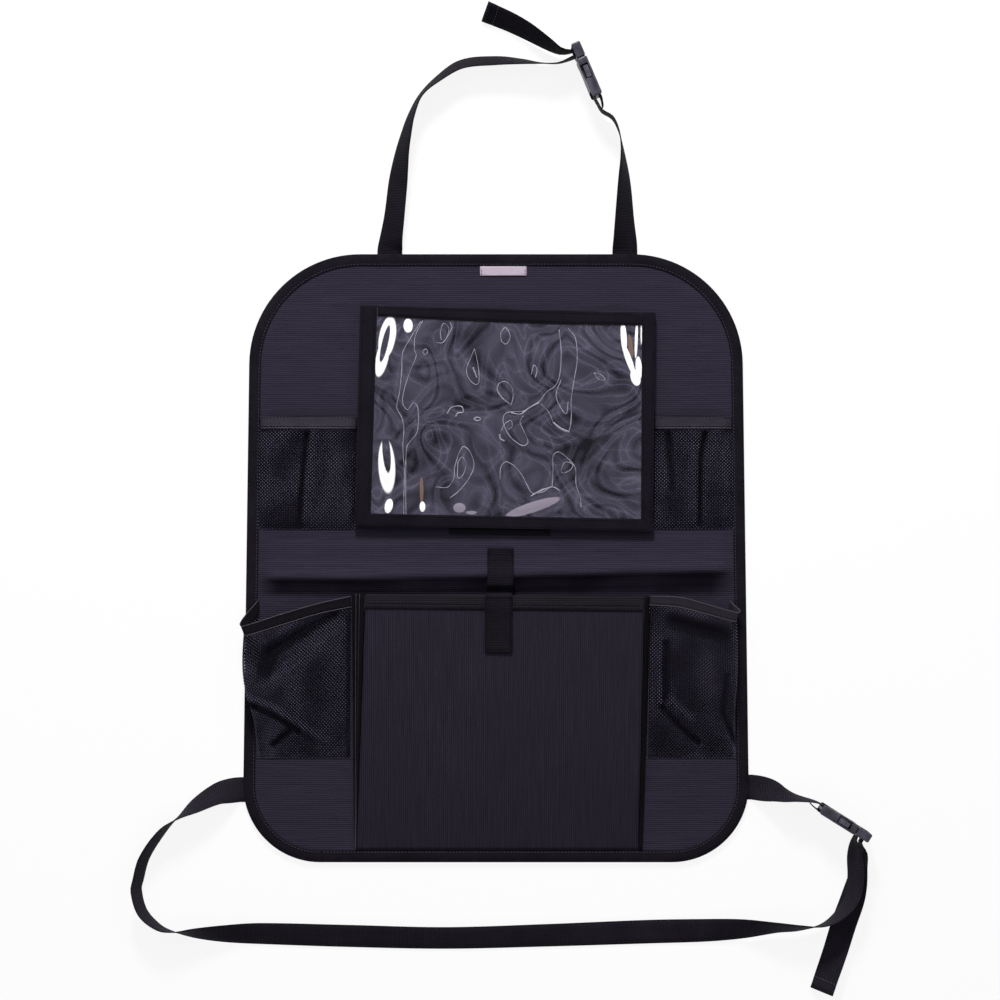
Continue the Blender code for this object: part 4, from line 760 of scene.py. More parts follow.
def field(points, wavelength, seed):
    """Smooth noise from -1 to 1 over plan points, with features about a wavelength across."""
    flat = points.reshape(-1, points.shape[-1])
    found = [noise.noise((p[0] / wavelength, p[1] / wavelength, seed)) for p in flat]
    return np.array(found).reshape(points.shape[:-1])


def grid(rows, columns, place):
    """Rows of points place(u, v), with u across and v down, both from 0 to 1."""
    return [[place(i / columns, j / rows) for i in range(columns + 1)] for j in range(rows + 1)]


def hem_bead(share, height, drop):
    """Rise of a hem share of the way across it: its two edges stand up by height, less a drop."""
    return height * abs(2 * share - 1) ** 4 - drop


def lerp(a, b, share):
    return tuple(p + (q - p) * share for p, q in zip(a, b))


def ramp(distance, reach):
    return math.sin(min(max(distance / reach, 0.0), 1.0) * math.pi / 2)


def smooth_route(points, cells=None, step=None):
    """Stations on a smooth curve through points of any number of values, x and y first."""
    lengths = [0.0]
    for a, b in zip(points, points[1:]):
        lengths.append(lengths[-1] + math.dist(a[:2], b[:2]))
    slopes = []
    for i in range(len(points)):
        low, high = max(i - 1, 0), min(i + 1, len(points) - 1)
        span = lengths[high] - lengths[low]
        slopes.append([(q - p) / span for p, q in zip(points[low], points[high])])
    stations = []
    for i in range(len(points) - 1):
        span = lengths[i + 1] - lengths[i]
        count = cells[i] if cells else max(1, round(span / step))
        for k in range(count):
            t = k / count
            h = (2 * t**3 - 3 * t**2 + 1, t**3 - 2 * t**2 + t, 3 * t**2 - 2 * t**3, t**3 - t**2)
            stations.append([
                h[0] * p + h[1] * span * m + h[2] * q + h[3] * span * n
                for p, m, q, n in zip(points[i], slopes[i], points[i + 1], slopes[i + 1])
            ])
    stations.append(list(points[-1]))
    return stations


def bar_faces():
    """Faces of a bar of ten points: its start, two rings of four and its end."""
    faces = []
    for i in range(4):
        j = (i + 1) % 4
        faces += [(0, 1 + j, 1 + i), (1 + i, 1 + j, 5 + j, 5 + i), (5 + i, 5 + j, 9)]
    return faces


def copies(faces, count, size, start=0):
    """The faces of count like solids of size points each, the first point being number start."""
    return [tuple(start + k * size + corner for corner in face) for k in range(count) for face in faces]


def stitches(name, runs, material, pitch=STITCH_PITCH):
    """Rows of thread stitches. A run is its points and the way up from the cloth there."""
    points = []
    for path, up in runs:
        path = np.asarray(path, float)
        up = np.asarray(up, float) * STITCH_RADIUS
        length = running_length(path, 0)
        for k in range(int(length[-1] / pitch)):
            start = (k + 0.5) * pitch - STITCH_LENGTH / 2
            first, last = (np.array([np.interp(at, length, path[:, axis]) for axis in range(3)])
                           for at in (start, start + STITCH_LENGTH))
            along = last - first
            side = np.cross(up, along)
            side *= 0.8 * STITCH_RADIUS / np.linalg.norm(side)
            points.append(first - up * 0.6)
            points += [first + along * share + up * 0.45 + way
                       for share in (0.28, 0.72) for way in (up, side, -up, -side)]
            points.append(last - up * 0.6)
    faces = copies(bar_faces(), len(points) // 10, 10)
    return done(add_mesh(name, points, faces, material), None)


def piping(name, path, material, radius=PIPING_RADIUS):
    """A thin round tube along a path, with one radius or one for each point. It draws rolled edges and lines of
    painted highlight and shadow.
    """
    path = np.asarray(path, float)
    along = np.gradient(path, axis=0)
    radii = np.broadcast_to(radius, len(path))[:, None]
    side = np.cross(UPWARDS, along)
    side *= radii / np.linalg.norm(side, axis=1)[:, None]
    up = radii * UPWARDS
    sections = [path + side * math.cos(turn) + up * math.sin(turn) for turn in np.arange(6) * math.pi / 3]
    return done(tube(name, np.stack(sections, axis=1), material), None)


def done(obj, slot, *nodes):
    """Rides a piece on the one body and hides the solids that it stands for. slot, its finish, is not used."""
    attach(obj, "root")
    if nodes:
        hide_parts(*nodes)
    return obj


def corner_centres():
    taper = math.atan2((PANEL_BOTTOM_WIDTH - PANEL_TOP_WIDTH) / 2, PANEL_HEIGHT)
    found = []
    for width, y, radius, way in (
        (PANEL_TOP_WIDTH, PANEL_HEIGHT / 2, TOP_CORNER_RADIUS, -1),
        (PANEL_BOTTOM_WIDTH, -PANEL_HEIGHT / 2, BOTTOM_CORNER_RADIUS, 1),
    ):
        across = radius * (1 + way * math.sin(taper)) / math.cos(taper)
        found.append((width / 2 - across, y + way * radius, radius))
    return taper, found


def right_side():
    """Points down the mat's right side with their outward directions, from the end of the top edge."""
    taper, corners = corner_centres()
    halves = []
    for (x, y, radius), start, end in zip(corners, (math.pi / 2, taper), (taper, -math.pi / 2)):
        half = []
        for k in range(CORNER_STEPS + 1):
            angle = start + (end - start) * k / CORNER_STEPS
            out = Vector((math.cos(angle), math.sin(angle)))
            half.append((Vector((x, y)) + out * radius, out))
        halves.append(half)
    (last, out), first = halves[0][-1], halves[1][0][0]
    count = round((last - first).length / SIDE_STEP)
    straight = [(last.lerp(first, k / count), out) for k in range(1, count)]
    return halves[0] + straight + halves[1]


def edge_loop(inset):
    """The mat's closed outline, moved in by inset: left side up, top, right side down, bottom."""
    right = [point - out * inset for point, out in right_side()]
    left = [Vector((-point.x, point.y)) for point in right]
    top = [Vector((right[0].x * share, right[0].y)) for share in SHARES[1:-1]]
    bottom = [Vector((right[-1].x * -share, right[-1].y)) for share in SHARES[1:-1]]
    return np.array([tuple(p) for p in left[::-1] + top + right + bottom])


def half_width(y, inset=0.0):
    share = (PANEL_HEIGHT / 2 - y) / PANEL_HEIGHT
    return (PANEL_TOP_WIDTH + (PANEL_BOTTOM_WIDTH - PANEL_TOP_WIDTH) * share) / 2 - inset


def fold_lift(x, y):
    """The packing fold across the mat: a low swell, then a ridge with a steep lower side."""
    ridge = FOLD_Y + FOLD_LEAN * max(x, -0.12) + 0.0008 * noise.noise((x / 0.05, 0.3, 7.0))
    away = y - ridge
    if not FOLD_PROFILE[-1][0] < away < FOLD_PROFILE[0][0]:
        return 0.0
    for (high, upper), (low, lower) in zip(FOLD_PROFILE, FOLD_PROFILE[1:]):
        if away >= low:
            share = (away - low) / (high - low)
            lift = lower + (upper - lower) * share * share * (3 - 2 * share)
            break
    from_edge = half_width(y, FIELD_INSET) - abs(x)
    return lift * ramp(from_edge, FOLD_END_REACH)


def nearest_on_edge(plan, edge):
    """For each plan point, how far away the edge is and how far along the edge that is."""
    run = running_length(edge, 0)
    flat = plan.reshape(-1, 2)
    away, where = [], []
    for start in range(0, len(flat), 2000):
        gap = np.linalg.norm(flat[start:start + 2000, None] - edge[None], axis=-1)
        away.append(gap.min(axis=1))
        where.append(run[gap.argmin(axis=1)])
    return np.concatenate(away).reshape(plan.shape[:2]), np.concatenate(where).reshape(plan.shape[:2])


def sunk_front(plan):
    """How far the mat's front sinks: puckers along the binding's seam and slack in between."""
    away, where = nearest_on_edge(plan, edge_loop(FIELD_INSET))
    wave = 0.5 + 0.5 * np.sin(where * 2 * math.pi / PUCKER_PITCH + 2.5 * field(plan, 0.04, 3.0))
    pucker = wave * np.exp(-away / 0.007) * (1 - np.exp(-away / 0.003))
    slack = 0.5 + 0.5 * field(plan, 0.055, 1.0) + 0.2 * field(plan, 0.022, 2.0)
    return PUCKER_DEPTH * pucker + SLACK_DEPTH * np.clip(slack, 0, 1) * np.clip(away / 0.020, 0, 1)


def build_panel(material):
    """The mat: a front and a back over one grid, and a rim that runs out inside the binding."""
    side = [point - out * FIELD_INSET for point, out in right_side()]
    plan = np.array([[(point.x * share, point.y) for share in SHARES] for point in side])
    fold = np.array([[fold_lift(x, y) for x, y in row] for row in plan])
    rows, columns = fold.shape
    size = rows * columns
    points = [np.dstack([plan, z]).reshape(-1, 3) for z in (PANEL_TOP + fold - sunk_front(plan), fold)]
    faces = [grid_faces(rows, columns), grid_faces(rows, columns)[:, ::-1] + size]
    index = np.arange(size).reshape(rows, columns)
    border = np.concatenate([index[::-1, 0], index[0, 1:-1], index[:, -1], index[-1, -2:0:-1]])
    loops = [border]
    rim_low = (BINDING_HEIGHT - PANEL_EDGE_THICKNESS) / 2
    start = 2 * size
    for inset, z in zip((*RIM_INSETS, *RIM_INSETS[::-1]), (RIM_TOP, RIM_TOP, rim_low, rim_low)):
        points.append(np.column_stack([edge_loop(inset), np.full(len(border), z)]))
        loops.append(np.arange(start, start + len(border)))
        start += len(border)
    loops.append(border + size)
    for inner, outer in zip(loops, loops[1:]):
        faces.append(np.stack([np.roll(inner, 1), inner, outer, np.roll(outer, 1)], -1))
    panel = add_mesh("mat_textile", np.concatenate(points), np.concatenate(faces), material)
    done(panel, "textile", "back_panel")


def build_binding(material, thread):
    """The tape folded round the mat's whole edge, stitched from both sides."""
    wide, high, tape = BINDING_WIDTH, BINDING_HEIGHT, TAPE_THICKNESS
    profile = (
        (wide, 0.0), (wide * 0.5, 0.0), (0.0006, 0.0), (0.0001, 0.0006), (0.0001, high - 0.0006),
        (0.0006, high), (wide * 0.5, high + 0.0001), (wide - 0.0004, high), (wide, high - 0.0003),
        (wide, high - tape), (tape, high - tape), (tape, tape), (wide, tape),
    )
    inner_edge = edge_loop(wide)
    ripple = BINDING_RIPPLE * np.array([noise.noise((x / 0.008, y / 0.008, 5.0)) for x, y in inner_edge])
    sections = []
    for k, (inset, z) in enumerate(profile):
        heights = z + ripple * (5 <= k <= 8)
        sections.append(np.column_stack([edge_loop(inset), heights]))
    sections = np.stack(sections, axis=1)
    binding = tube("mat_binding", sections, material, cyclic=True, sharp=50)
    done(binding, "black_tape", "edge_binding")
    loop = edge_loop(BINDING_STITCHES)
    loop = np.concatenate([loop, loop[:1]])
    runs = [(np.column_stack([loop, np.full(len(loop), z)]), (0, 0, way))
            for z, way in ((high + ON_CLOTH, 1), (0.0, -1))]
    seam = stitches("mat_binding_stitches", runs, thread)
    length = running_length(inner_edge, 0)[-1]


def build_label(material, thread):
    """The small blank label, sewn down at both ends."""
    low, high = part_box("label")

    def place(u, v):
        x = low.x + (high.x - low.x) * u
        y = high.y + (low.y - high.y) * v
        curl = 0.0003 * noise.noise((x / 0.01, y / 0.006, 4.0)) + 0.0002
        return x, y, high.z + curl * v

    label = cloth("label_cloth", grid(8, 30, place), high.z - low.z, material)
    done(label, "label_cloth", "label")
    runs = [([(x, low.y + 0.0006, high.z), (x, high.y - 0.0003, high.z)], UPWARDS)
            for x in (low.x + 0.0016, high.x - 0.0016)]
    seam = stitches("label_stitches", runs, thread, 0.0029)


def sleeve_legs():
    """Pairs of outer and inner plan points at the frame's corners, cut level at the mouth."""
    legs = list(zip(SLEEVE_OUTER, SLEEVE_INNER))
    for k in (0, 3):
        outer, inner = legs[k]
        legs[k] = outer, (inner[0], outer[1])
    return legs


def tape_point(outer, inner, share, z, ripple):
    """A point of a tape's section, share of the way from outer to inner. Its top side ripples."""
    x, y = lerp(outer, inner, share)
    if z > TAPE_LOW:
        z += ripple * noise.noise((x / 0.016, y / 0.016, 8.0))
    return x, y, z


def build_sleeve_frame(legs, tape):
    """The tape round the sleeve's left, bottom and right, with mitred corners."""
    sections = []
    for (outer_a, inner_a), (outer_b, inner_b) in zip(legs, legs[1:]):
        steps = round(math.dist(outer_a, outer_b) / FRAME_STEP)
        for k in range(steps + 1):
            outer, inner = lerp(outer_a, outer_b, k / steps), lerp(inner_a, inner_b, k / steps)
            wall = SLEEVE_WALL / math.dist(outer, inner)
            top = TAPE_HIGH - (MITRE_DIP if k in (0, steps) else 0.0)
            profile = (
                (0.0, SEWN_Z), (0.0, top - 0.0006), (wall * 0.5, top), (0.33, top + 0.0002),
                (0.66, top + 0.0002), (0.97, top), (1.0, top - 0.0003), (1.0, TAPE_LOW),
                (wall, TAPE_LOW), (wall, SEWN_Z),
            )
            sections.append([
                tape_point(outer, inner, share, z, FRAME_RIPPLE * (share > 0)) for share, z in profile])
    return done(tube("sleeve_frame", sections, tape, sharp=45), "black_tape", "window_frame_binding")


def build_mouth_band(tape):
    """The tape along the sleeve's open mouth, and the pairs of plan points that its edges run through."""
    outer_line, inner_line = (SLEEVE_OUTER[0], SLEEVE_OUTER[3]), (SLEEVE_INNER[0], SLEEVE_INNER[3])
    width = outer_line[1][0] - outer_line[0][0]
    start = (inner_line[0][0] - outer_line[0][0] + SEAT_GAP) / width
    end = 1 - (outer_line[1][0] - inner_line[1][0] + SEAT_GAP) / width
    fold_high = FILM_LOW - SEAT_GAP
    fold_low = fold_high - 0.0005
    sections, edges = [], []
    for along in np.linspace(0, 1, 67):
        outer = lerp(*outer_line, start + (end - start) * along)
        inner_y = lerp(*inner_line, start + (end - start) * along)[1]
        inner = (outer[0], inner_y - TOP_BAND_DIP * math.sin(math.pi * along))
        wall = SLEEVE_WALL / (outer[1] - inner[1])
        profile = (
            (0.0, fold_low), (0.0, TAPE_HIGH - 0.0005), (wall / 2, TAPE_HIGH), (0.35, TAPE_HIGH + 0.0002),
            (0.7, TAPE_HIGH + 0.0002), (0.97, TAPE_HIGH), (1.0, TAPE_HIGH - 0.0003), (1.0, TAPE_LOW),
            (wall, TAPE_LOW), (wall, fold_high), (1.0, fold_high), (1.0, fold_low),
        )
        sections.append([tape_point(outer, inner, share, z, BAND_RIPPLE) for share, z in profile])
        edges.append((outer, inner))
    band = done(tube("sleeve_mouth_band", sections, tape, sharp=45), "black_tape", "window_top_band")
    return band, edges, width


def build_sleeve_tab(tape):
    """The short strip that shows just below the sleeve."""
    low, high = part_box("window_lower_tab")
    start, end = np.array(SLEEVE_OUTER[1:3])
    along = (end - start) / np.linalg.norm(end - start)
    down = np.array((along[1], -along[0]))
    middle = start + along * ((TAB_X - start[0]) / along[0]) + down * SEAT_GAP

    def place(u, v):
        reach = TAB_LENGTH * (u - 0.5)
        x, y = middle + along * reach + down * TAB_WIDTH * v
        return x, y, high.z + 0.0001 * math.sin(reach * 900)

    tab = cloth("sleeve_tab", grid(4, 49, place), high.z - low.z, tape)
    done(tab, "black_tape", "window_lower_tab")


def build_sleeve(tape, film_material, crease_highlight_material, thread):
    """The tablet sleeve: its taped frame, its open mouth, the clear film under them and the tab below."""
    legs = sleeve_legs()
    sleeve = build_sleeve_frame(legs, tape)
    band, edges, width = build_mouth_band(tape)
    stitch_z = TAPE_HIGH + 0.0002
    runs = []
    for leg in zip(legs, legs[1:]):
        for share in (0.18, 0.84):
            ends = [lerp(outer, inner, share) for outer, inner in leg]
            runs.append(([(*lerp(*ends, t), stitch_z) for t in np.linspace(*STITCHED_SPAN, 40)], UPWARDS))
    for share in (0.16, 0.8):
        runs.append(([(*lerp(outer, inner, share), stitch_z) for outer, inner in edges], UPWARDS))
    seam = stitches("sleeve_stitches", runs, thread)
    build_film(film_material, crease_highlight_material)
    build_sleeve_tab(tape)


def film_corners():
    """The film's corners from the top left, anticlockwise."""
    margin = SLEEVE_WALL + SEAT_GAP
    top_margin = margin + 0.0005
    (x0, y0), (x1, y1), (x2, y2), (x3, y3) = SLEEVE_OUTER
    return ((x0 + margin, y0 - top_margin), (x1 + margin, y1 + margin), (x2 - margin, y2 + margin),
            (x3 - margin, y3 - top_margin))


def film_height(x, y):
    """Height of the slack film: broad waves, small creases and the humps under the painted glints."""
    inner_x, inner_y = zip(*SLEEVE_INNER)
    left, right, low = max(inner_x[:2]), min(inner_x[2:]), max(inner_y[1:3])
    top = min(inner_y[0], inner_y[3]) - TOP_BAND_DIP
    inside = min(x - left, right - x, y - low, top - y)
    u, v = (x - left) / (right - left), (top - y) / (top - low)
    wave = 0.6 * math.sin(2 * math.pi * (1.3 * u + 0.55 * v + 0.1))
    wave += 0.4 * math.sin(2 * math.pi * (0.7 * u - 1.4 * v + 0.35))
    lift = 0.0014 * wave * ramp(inside - HEM_OVERLAP, 0.020)
    lift += 0.0011 * noise.noise((x / 0.032, y / 0.032, 2.0)) * ramp(inside, 0.012)
    lift += 0.0002 * noise.noise((x / 0.012, y / 0.012, 6.0)) * ramp(inside, 0.006)
    for kind, (centre_x, centre_y), (half_wide, half_high), turn in PAINTED_GLINTS:
        if kind != "hole":
            turn = math.radians(turn)
            dx, dy = x - centre_x, y - centre_y
            across = (dx * math.cos(turn) + dy * math.sin(turn)) / (half_wide + 0.003)
            down = (dy * math.cos(turn) - dx * math.sin(turn)) / (half_high + 0.004)
            lift += 0.0010 * max(1 - across**2 - down**2, 0.0) ** 2 * ramp(inside, 0.004)
    return FILM_HIGH + lift


def build_film(material, crease_highlight_material):
    """The clear film, with sharp creases drawn pale as painted highlights."""
    top_left, low_left, low_right, top_right = film_corners()

    def place(u, v):
        x, y = lerp(lerp(top_left, low_left, v), lerp(top_right, low_right, v), u)
        return x, y, film_height(x, y)

    film = cloth("sleeve_film", grid(*FILM_GRID, place), FILM_HIGH - FILM_LOW, material)
    done(film, "clear_film", "window_film")
    lines = [(line, CREASE_RADIUS) for line in FILM_CREASES + RING_CREASES]
    lines += [(line, THICK_CREASE_RADIUS) for line in THICK_CREASES]
    for number, (line, radius) in enumerate(lines, 1):
        stations = smooth_route(line, step=0.0012)
        path = [(x, y, film_height(x, y) + 0.00005) for x, y in stations]
        radii = [radius * (1 + 0.9 * noise.noise((x / 0.009, y / 0.009, number))) for x, y in stations]
        piping(f"sleeve_film_crease_{number}", path, crease_highlight_material, radii)


def net(name, surface, columns, rows, material):
    """A diamond net over surface(u, v), which gives a place and how far a fold bunches the net there.

    Each strand and each knot is a small closed solid. Knots are small where the net is bunched.
    """
    spots, centres, sizes = {}, [], []
    for j in range(rows + 1):
        for i in range(columns + 1):
            if (i + j) % 2 == 0:
                spots[i, j] = len(centres)
                x, y, z, bunched = surface(i / columns, j / rows)
                centres.append((x, y, z - CLOTH / 2))
                loose = 1.0 - 0.8 * bunched + 0.4 * noise.noise((x / 0.022, y / 0.030, 5.5))
                sizes.append(min(max(loose, 0.30), 1.12))
    centres = np.array(centres)
    pairs = np.array([
        (at, spots[i + side, j + 1]) for (i, j), at in spots.items() for side in (-1, 1)
        if (i + side, j + 1) in spots])
    starts = centres[pairs[:, 0]]
    along = centres[pairs[:, 1]] - starts
    side = np.cross(UPWARDS, along)
    side *= NET_STRAND_RADIUS / np.linalg.norm(side, axis=1)[:, None]
    up = np.broadcast_to((0.0, 0.0, NET_STRAND_RADIUS), side.shape)
    rings = [starts + along * share + way for share in (0.1, 0.9) for way in (side, up, -side, -up)]
    strands = np.stack([starts, *rings, starts + along], axis=1)
    reach = np.vstack([np.eye(3), -np.eye(3)]) * NET_KNOT_RADIUS * (1, 1, 0.85)
    knots = centres[:, None] + reach * np.array(sizes)[:, None, None]
    points = np.concatenate([strands.reshape(-1, 3), knots.reshape(-1, 3)])
    first_knot = strands.size // 3
    faces = copies(bar_faces(), len(strands), 10) + copies(KNOT_FACES, len(knots), 6, first_knot)
    weave = np.zeros_like(points)
    weave[first_knot:, 0] = 1.0
    return add_mesh(name, points, faces, material, weave)


def crease_lift(x, y, creases):
    """Height that the folds in a net add. A fold is a line of points, how far it reaches and its height."""
    lift = 0.0
    for line, reach, height in creases:
        near = reach
        for (x0, y0), (x1, y1) in zip(line, line[1:]):
            dx, dy = x1 - x0, y1 - y0
            share = min(max(((x - x0) * dx + (y - y0) * dy) / (dx * dx + dy * dy), 0.0), 1.0)
            near = min(near, math.hypot(x - x0 - dx * share, y - y0 - dy * share))
        lift += height * (1 - near / reach) ** 1.4
    return lift


def build_upper_pocket(side_name, corners, creases, net_material, hem_material, thread, edge_highlight_piping):
    """A flat net pocket beside the sleeve, with a stitched tape along its mouth."""
    top_left, top_right, low_right, low_left = corners
    width = top_right[0] - top_left[0]
    height = top_left[1] - low_left[1]

    def raised(x, y, u, fall=1.0):
        share = ramp(min(u, 1 - u) * width, 0.010) * fall
        ripple = 0.0005 * noise.noise((x / 0.017, y / 0.03, 1.5))
        return POCKET_BASE + share * max(UPPER_DEPTH + crease_lift(x, y, creases) + ripple, NET_LEAST_RISE)

    def surface(u, v):
        x, y = lerp(lerp(top_left, low_left, v), lerp(top_right, low_right, v), u)
        z = raised(x, y, u, ramp((1 - v) * height, 0.020))
        return x, y, z, -crease_lift(x, y, creases) / BUNCHING_FOLD

    def on_hem(u, shift, lift):
        x, y = lerp(top_left, top_right, u)
        return x, y + shift, raised(x, y + shift, u) + 2 * CLOTH + lift

    def hem_place(u, v):
        x, y, z = on_hem(u, upper + (lower - upper) * v, hem_bead(v, 0.00035, 0.0002))
        return x, y - UPPER_HEM_SAG * math.sin(math.pi * u) * max(1 - 2 * v, 0.0), z

    columns, rows = (2 * round(span / NET_HALF_PITCH / 2) for span in (width, height))
    name = f"upper_{side_name}_net"
    piece = done(net(name, surface, columns, rows, net_material), "black_net", f"upper_{side_name}_pocket")
    upper, lower = UPPER_HEM_WIDTH - HEM_OVERLAP, -HEM_OVERLAP - 0.0012
    hem = cloth(f"{name}_hem", grid(6, 50, hem_place), CLOTH, hem_material)
    done(hem, "hem_tape", f"upper_{side_name}_pocket_hem")
    low_row, rim, high_row = (
        [on_hem(u, shift, ON_CLOTH) for u in np.linspace(0.01, 0.99, 60)]
        for shift in (lower + 0.0016, lower + 0.0001, upper - 0.0008))
    seam = stitches(f"{name}_stitches", [(low_row, UPWARDS), (high_row, UPWARDS)], thread)
    # A grey piping along the hem's lower edge: painted edge highlight.
    edge = piping(f"{name}_edge", rim, edge_highlight_piping)


def beside_sleeve(upper, lower, y, gap):
    """x at height y of a sleeve side from upper to lower, and a gap beside it."""
    return lerp(upper, lower, (upper[1] - y) / (upper[1] - lower[1]))[0] + gap


def build_upper_pockets(net_material, hem_material, thread, edge_highlight_piping):
    """Both upper pockets, between the binding and the sleeve."""
    inset = BINDING_WIDTH + SEAT_GAP
    gap = 2 * SEAT_GAP
    top_left, low_left, low_right, top_right = SLEEVE_OUTER
    levels = (UPPER_TOP, UPPER_BOTTOM)
    outer_top, outer_low = (half_width(y, inset) for y in levels)
    left_top, left_low = (beside_sleeve(top_left, low_left, y, -gap) for y in levels)
    right_top, right_low = (beside_sleeve(top_right, low_right, y, gap) for y in levels)
    left = (
        (-outer_top, UPPER_TOP), (left_top, UPPER_TOP), (left_low, UPPER_BOTTOM), (-outer_low, UPPER_BOTTOM))
    right = (
        (right_top, UPPER_TOP), (outer_top, UPPER_TOP), (outer_low, UPPER_BOTTOM), (right_low, UPPER_BOTTOM))
    looks = net_material, hem_material, thread, edge_highlight_piping
    build_upper_pocket("left", left, UPPER_LEFT_FOLDS, *looks)
    build_upper_pocket("right", right, UPPER_RIGHT_FOLDS, *looks)


def build_lower_pocket(side_name, mouth, seam_x, creases, net_material, hem_material, thread, edge_highlight_piping):
    """A net pocket whose outer side stands out on a folded strip and whose net gathers at its foot."""
    cells = [max(2, round(math.dist(a[:2], b[:2]) / 0.002)) for a, b in zip(mouth, mouth[1:])]
    stations = np.array(smooth_route([(*point, x) for point, x in zip(mouth, seam_x)], cells))
    run = running_length(stations[:, :3], 0)
    side = math.copysign(1, mouth[0][0])

    def surface(u, v):
        at = u * run[-1]
        mouth_x, mouth_y, height, _, _, foot_x = (np.interp(at, run, stations[:, k]) for k in range(6))
        x = mouth_x + (foot_x - mouth_x) * v
        y = mouth_y + (LOWER_BOTTOM - mouth_y) * v
        outer = min(max((abs(mouth_x) - BELLOWS_X) / BELLOWS_REACH, 0.0), 1.0)
        outer *= min(height / BELLOWS_HEIGHT, 1.0) ** 2
        x += side * BELLOWS_BULGE * math.sin(math.pi * min(v * 1.45, 1.0)) * outer
        stand = height * (1 - v**3.2) * (1 + 0.3 * math.sin(math.pi * v))
        loose = min(stand / LOOSE_HEIGHT, 1.0)
        ripple = 0.0010 * noise.noise((x / 0.022, y / 0.030, 3.5)) * loose
        crease = crease_lift(x, y, creases)
        rise = max(stand + (crease + ripple) * loose, min(stand, NET_LEAST_RISE))
        return x, y, POCKET_BASE + rise, -crease / BUNCHING_FOLD

    def hem_row(share, lift):
        return [(x + dx * share, y + dy * share, POCKET_BASE + z + lift) for x, y, z, dx, dy, _ in stations]

    columns = 2 * round(run[-1] / NET_HALF_PITCH / 2)
    rows = 2 * round((stations[:, 1].mean() - LOWER_BOTTOM) / NET_HALF_PITCH / 2)
    name = f"lower_{side_name}_net"
    piece = done(net(name, surface, columns, rows, net_material), "black_net", f"lower_{side_name}_pocket")
    hem_rows = [
        hem_row(1.0 + (LOWER_HEM_FOOT - 1.0) * t, hem_bead(t, 0.0004, 0.0002)) for t in np.linspace(0, 1, 7)]
    hem = cloth(f"{name}_hem", hem_rows, CLOTH, hem_material, flip=side > 0)
    done(hem, "black_tape", f"lower_{side_name}_pocket_hem")
    seam_row, lower_edge, upper_edge = (hem_row(share, ON_CLOTH) for share in (0.24, 0.04, 1.0))
    pieces = [hem, stitches(f"{name}_stitches", [(seam_row, UPWARDS)], thread)]
    # Grey pipings along the hem's edges: painted edge highlights.
    pieces.append(piping(f"{name}_lower_edge", lower_edge, edge_highlight_piping))
    pieces.append(piping(f"{name}_upper_edge", upper_edge, edge_highlight_piping))


def centre_frame(share):
    left = lerp(CENTRE_TOP_LEFT, (CENTRE_BOTTOM_X[0], CENTRE_BOTTOM_Y), share)
    right = lerp(CENTRE_TOP_RIGHT, (CENTRE_BOTTOM_X[1], CENTRE_BOTTOM_Y), share)
    return left, right, CENTRE_DEPTH * (1 - share**2.6) + 0.0002


def centre_point(u, share, lift=0.0):
    left, right, height = centre_frame(share)
    bulge = CENTRE_BULGE * math.sin(math.pi * u) ** 0.6 * (1 - share**4)
    x, y = lerp(left, right, u)
    slack = 0.0007 * noise.noise((x / 0.045, y / 0.060, 9.0)) * math.sin(math.pi * u) * (1 - share**4)
    return x, y, POCKET_BASE + height + bulge + lift + slack


def build_centre_pocket(textile, hem_cloth, thread):
    """The middle pocket's front and the stitched band along its mouth."""
    start, end = (CENTRE_HEM - HEM_OVERLAP) / CENTRE_LENGTH, CENTRE_HEM / CENTRE_LENGTH
    lap = CLOTH + SEAT_GAP
    points = grid(64, 70, lambda u, v: centre_point(u, start + (1 - start) * v))
    front = done(cloth("middle_pocket_front", points, CLOTH, textile), "textile", "centre_pocket")
    points = grid(8, 90, lambda u, v: centre_point(u, end * v, lap + hem_bead(v, 0.0003, 0.0001)))
    hem = done(cloth("middle_pocket_hem", points, CLOTH, hem_cloth), "black_tape", "centre_pocket_hem")
    runs = [([centre_point(u, end * share, lap + ON_CLOTH) for u in np.linspace(*STITCHED_SPAN, 90)], UPWARDS)
            for share in (0.64, 0.86)]
    seam = stitches("middle_pocket_stitches", runs, thread)


def build_gusset(side_name, side, reach, width, folds, material, edge_highlight_piping):
    """A folded side strip of the middle pocket, with grey piping along the folds that show, as painted
    highlights.
    """
    points = []
    for share in np.linspace(0, 1, 61):
        left, right, height = centre_frame(share)
        x, y = left if side < 0 else right
        spread = reach[0] + (reach[1] - reach[0]) * share
        top = 0.96 * max(height - CLOTH - 2 * SEAT_GAP, 0.0)
        row = []
        for out, up in GUSSET_PROFILE:
            sway = 0.0004 * noise.noise((out * 3, y / 0.02, 2.0 + side)) * out
            row.append((x + side * (SEAT_GAP + spread * out), y, POCKET_BASE + top * up + abs(sway)))
        points.append(row)
    name = f"middle_pocket_{side_name}_gusset"
    gusset = cloth(name, points, CLOTH, material, flip=side < 0)
    done(gusset, "black_tape", f"centre_pocket_{side_name}_gusset")
    for column, fold in enumerate(folds, 1):
        path = [(x, y, z + 0.0010) for x, y, z in (row[column] for row in points)]
        piping(f"{name}_{fold}_edge", path, edge_highlight_piping, GUSSET_PIPING)


def front_height(y):
    """Height of the middle pocket's front under the closure strap."""
    share = (CENTRE_TOP_LEFT[1] - y) / CENTRE_LENGTH
    left, right, _ = centre_frame(share)
    return centre_point((CLOSURE_X - left[0]) / (right[0] - left[0]), share)[2]


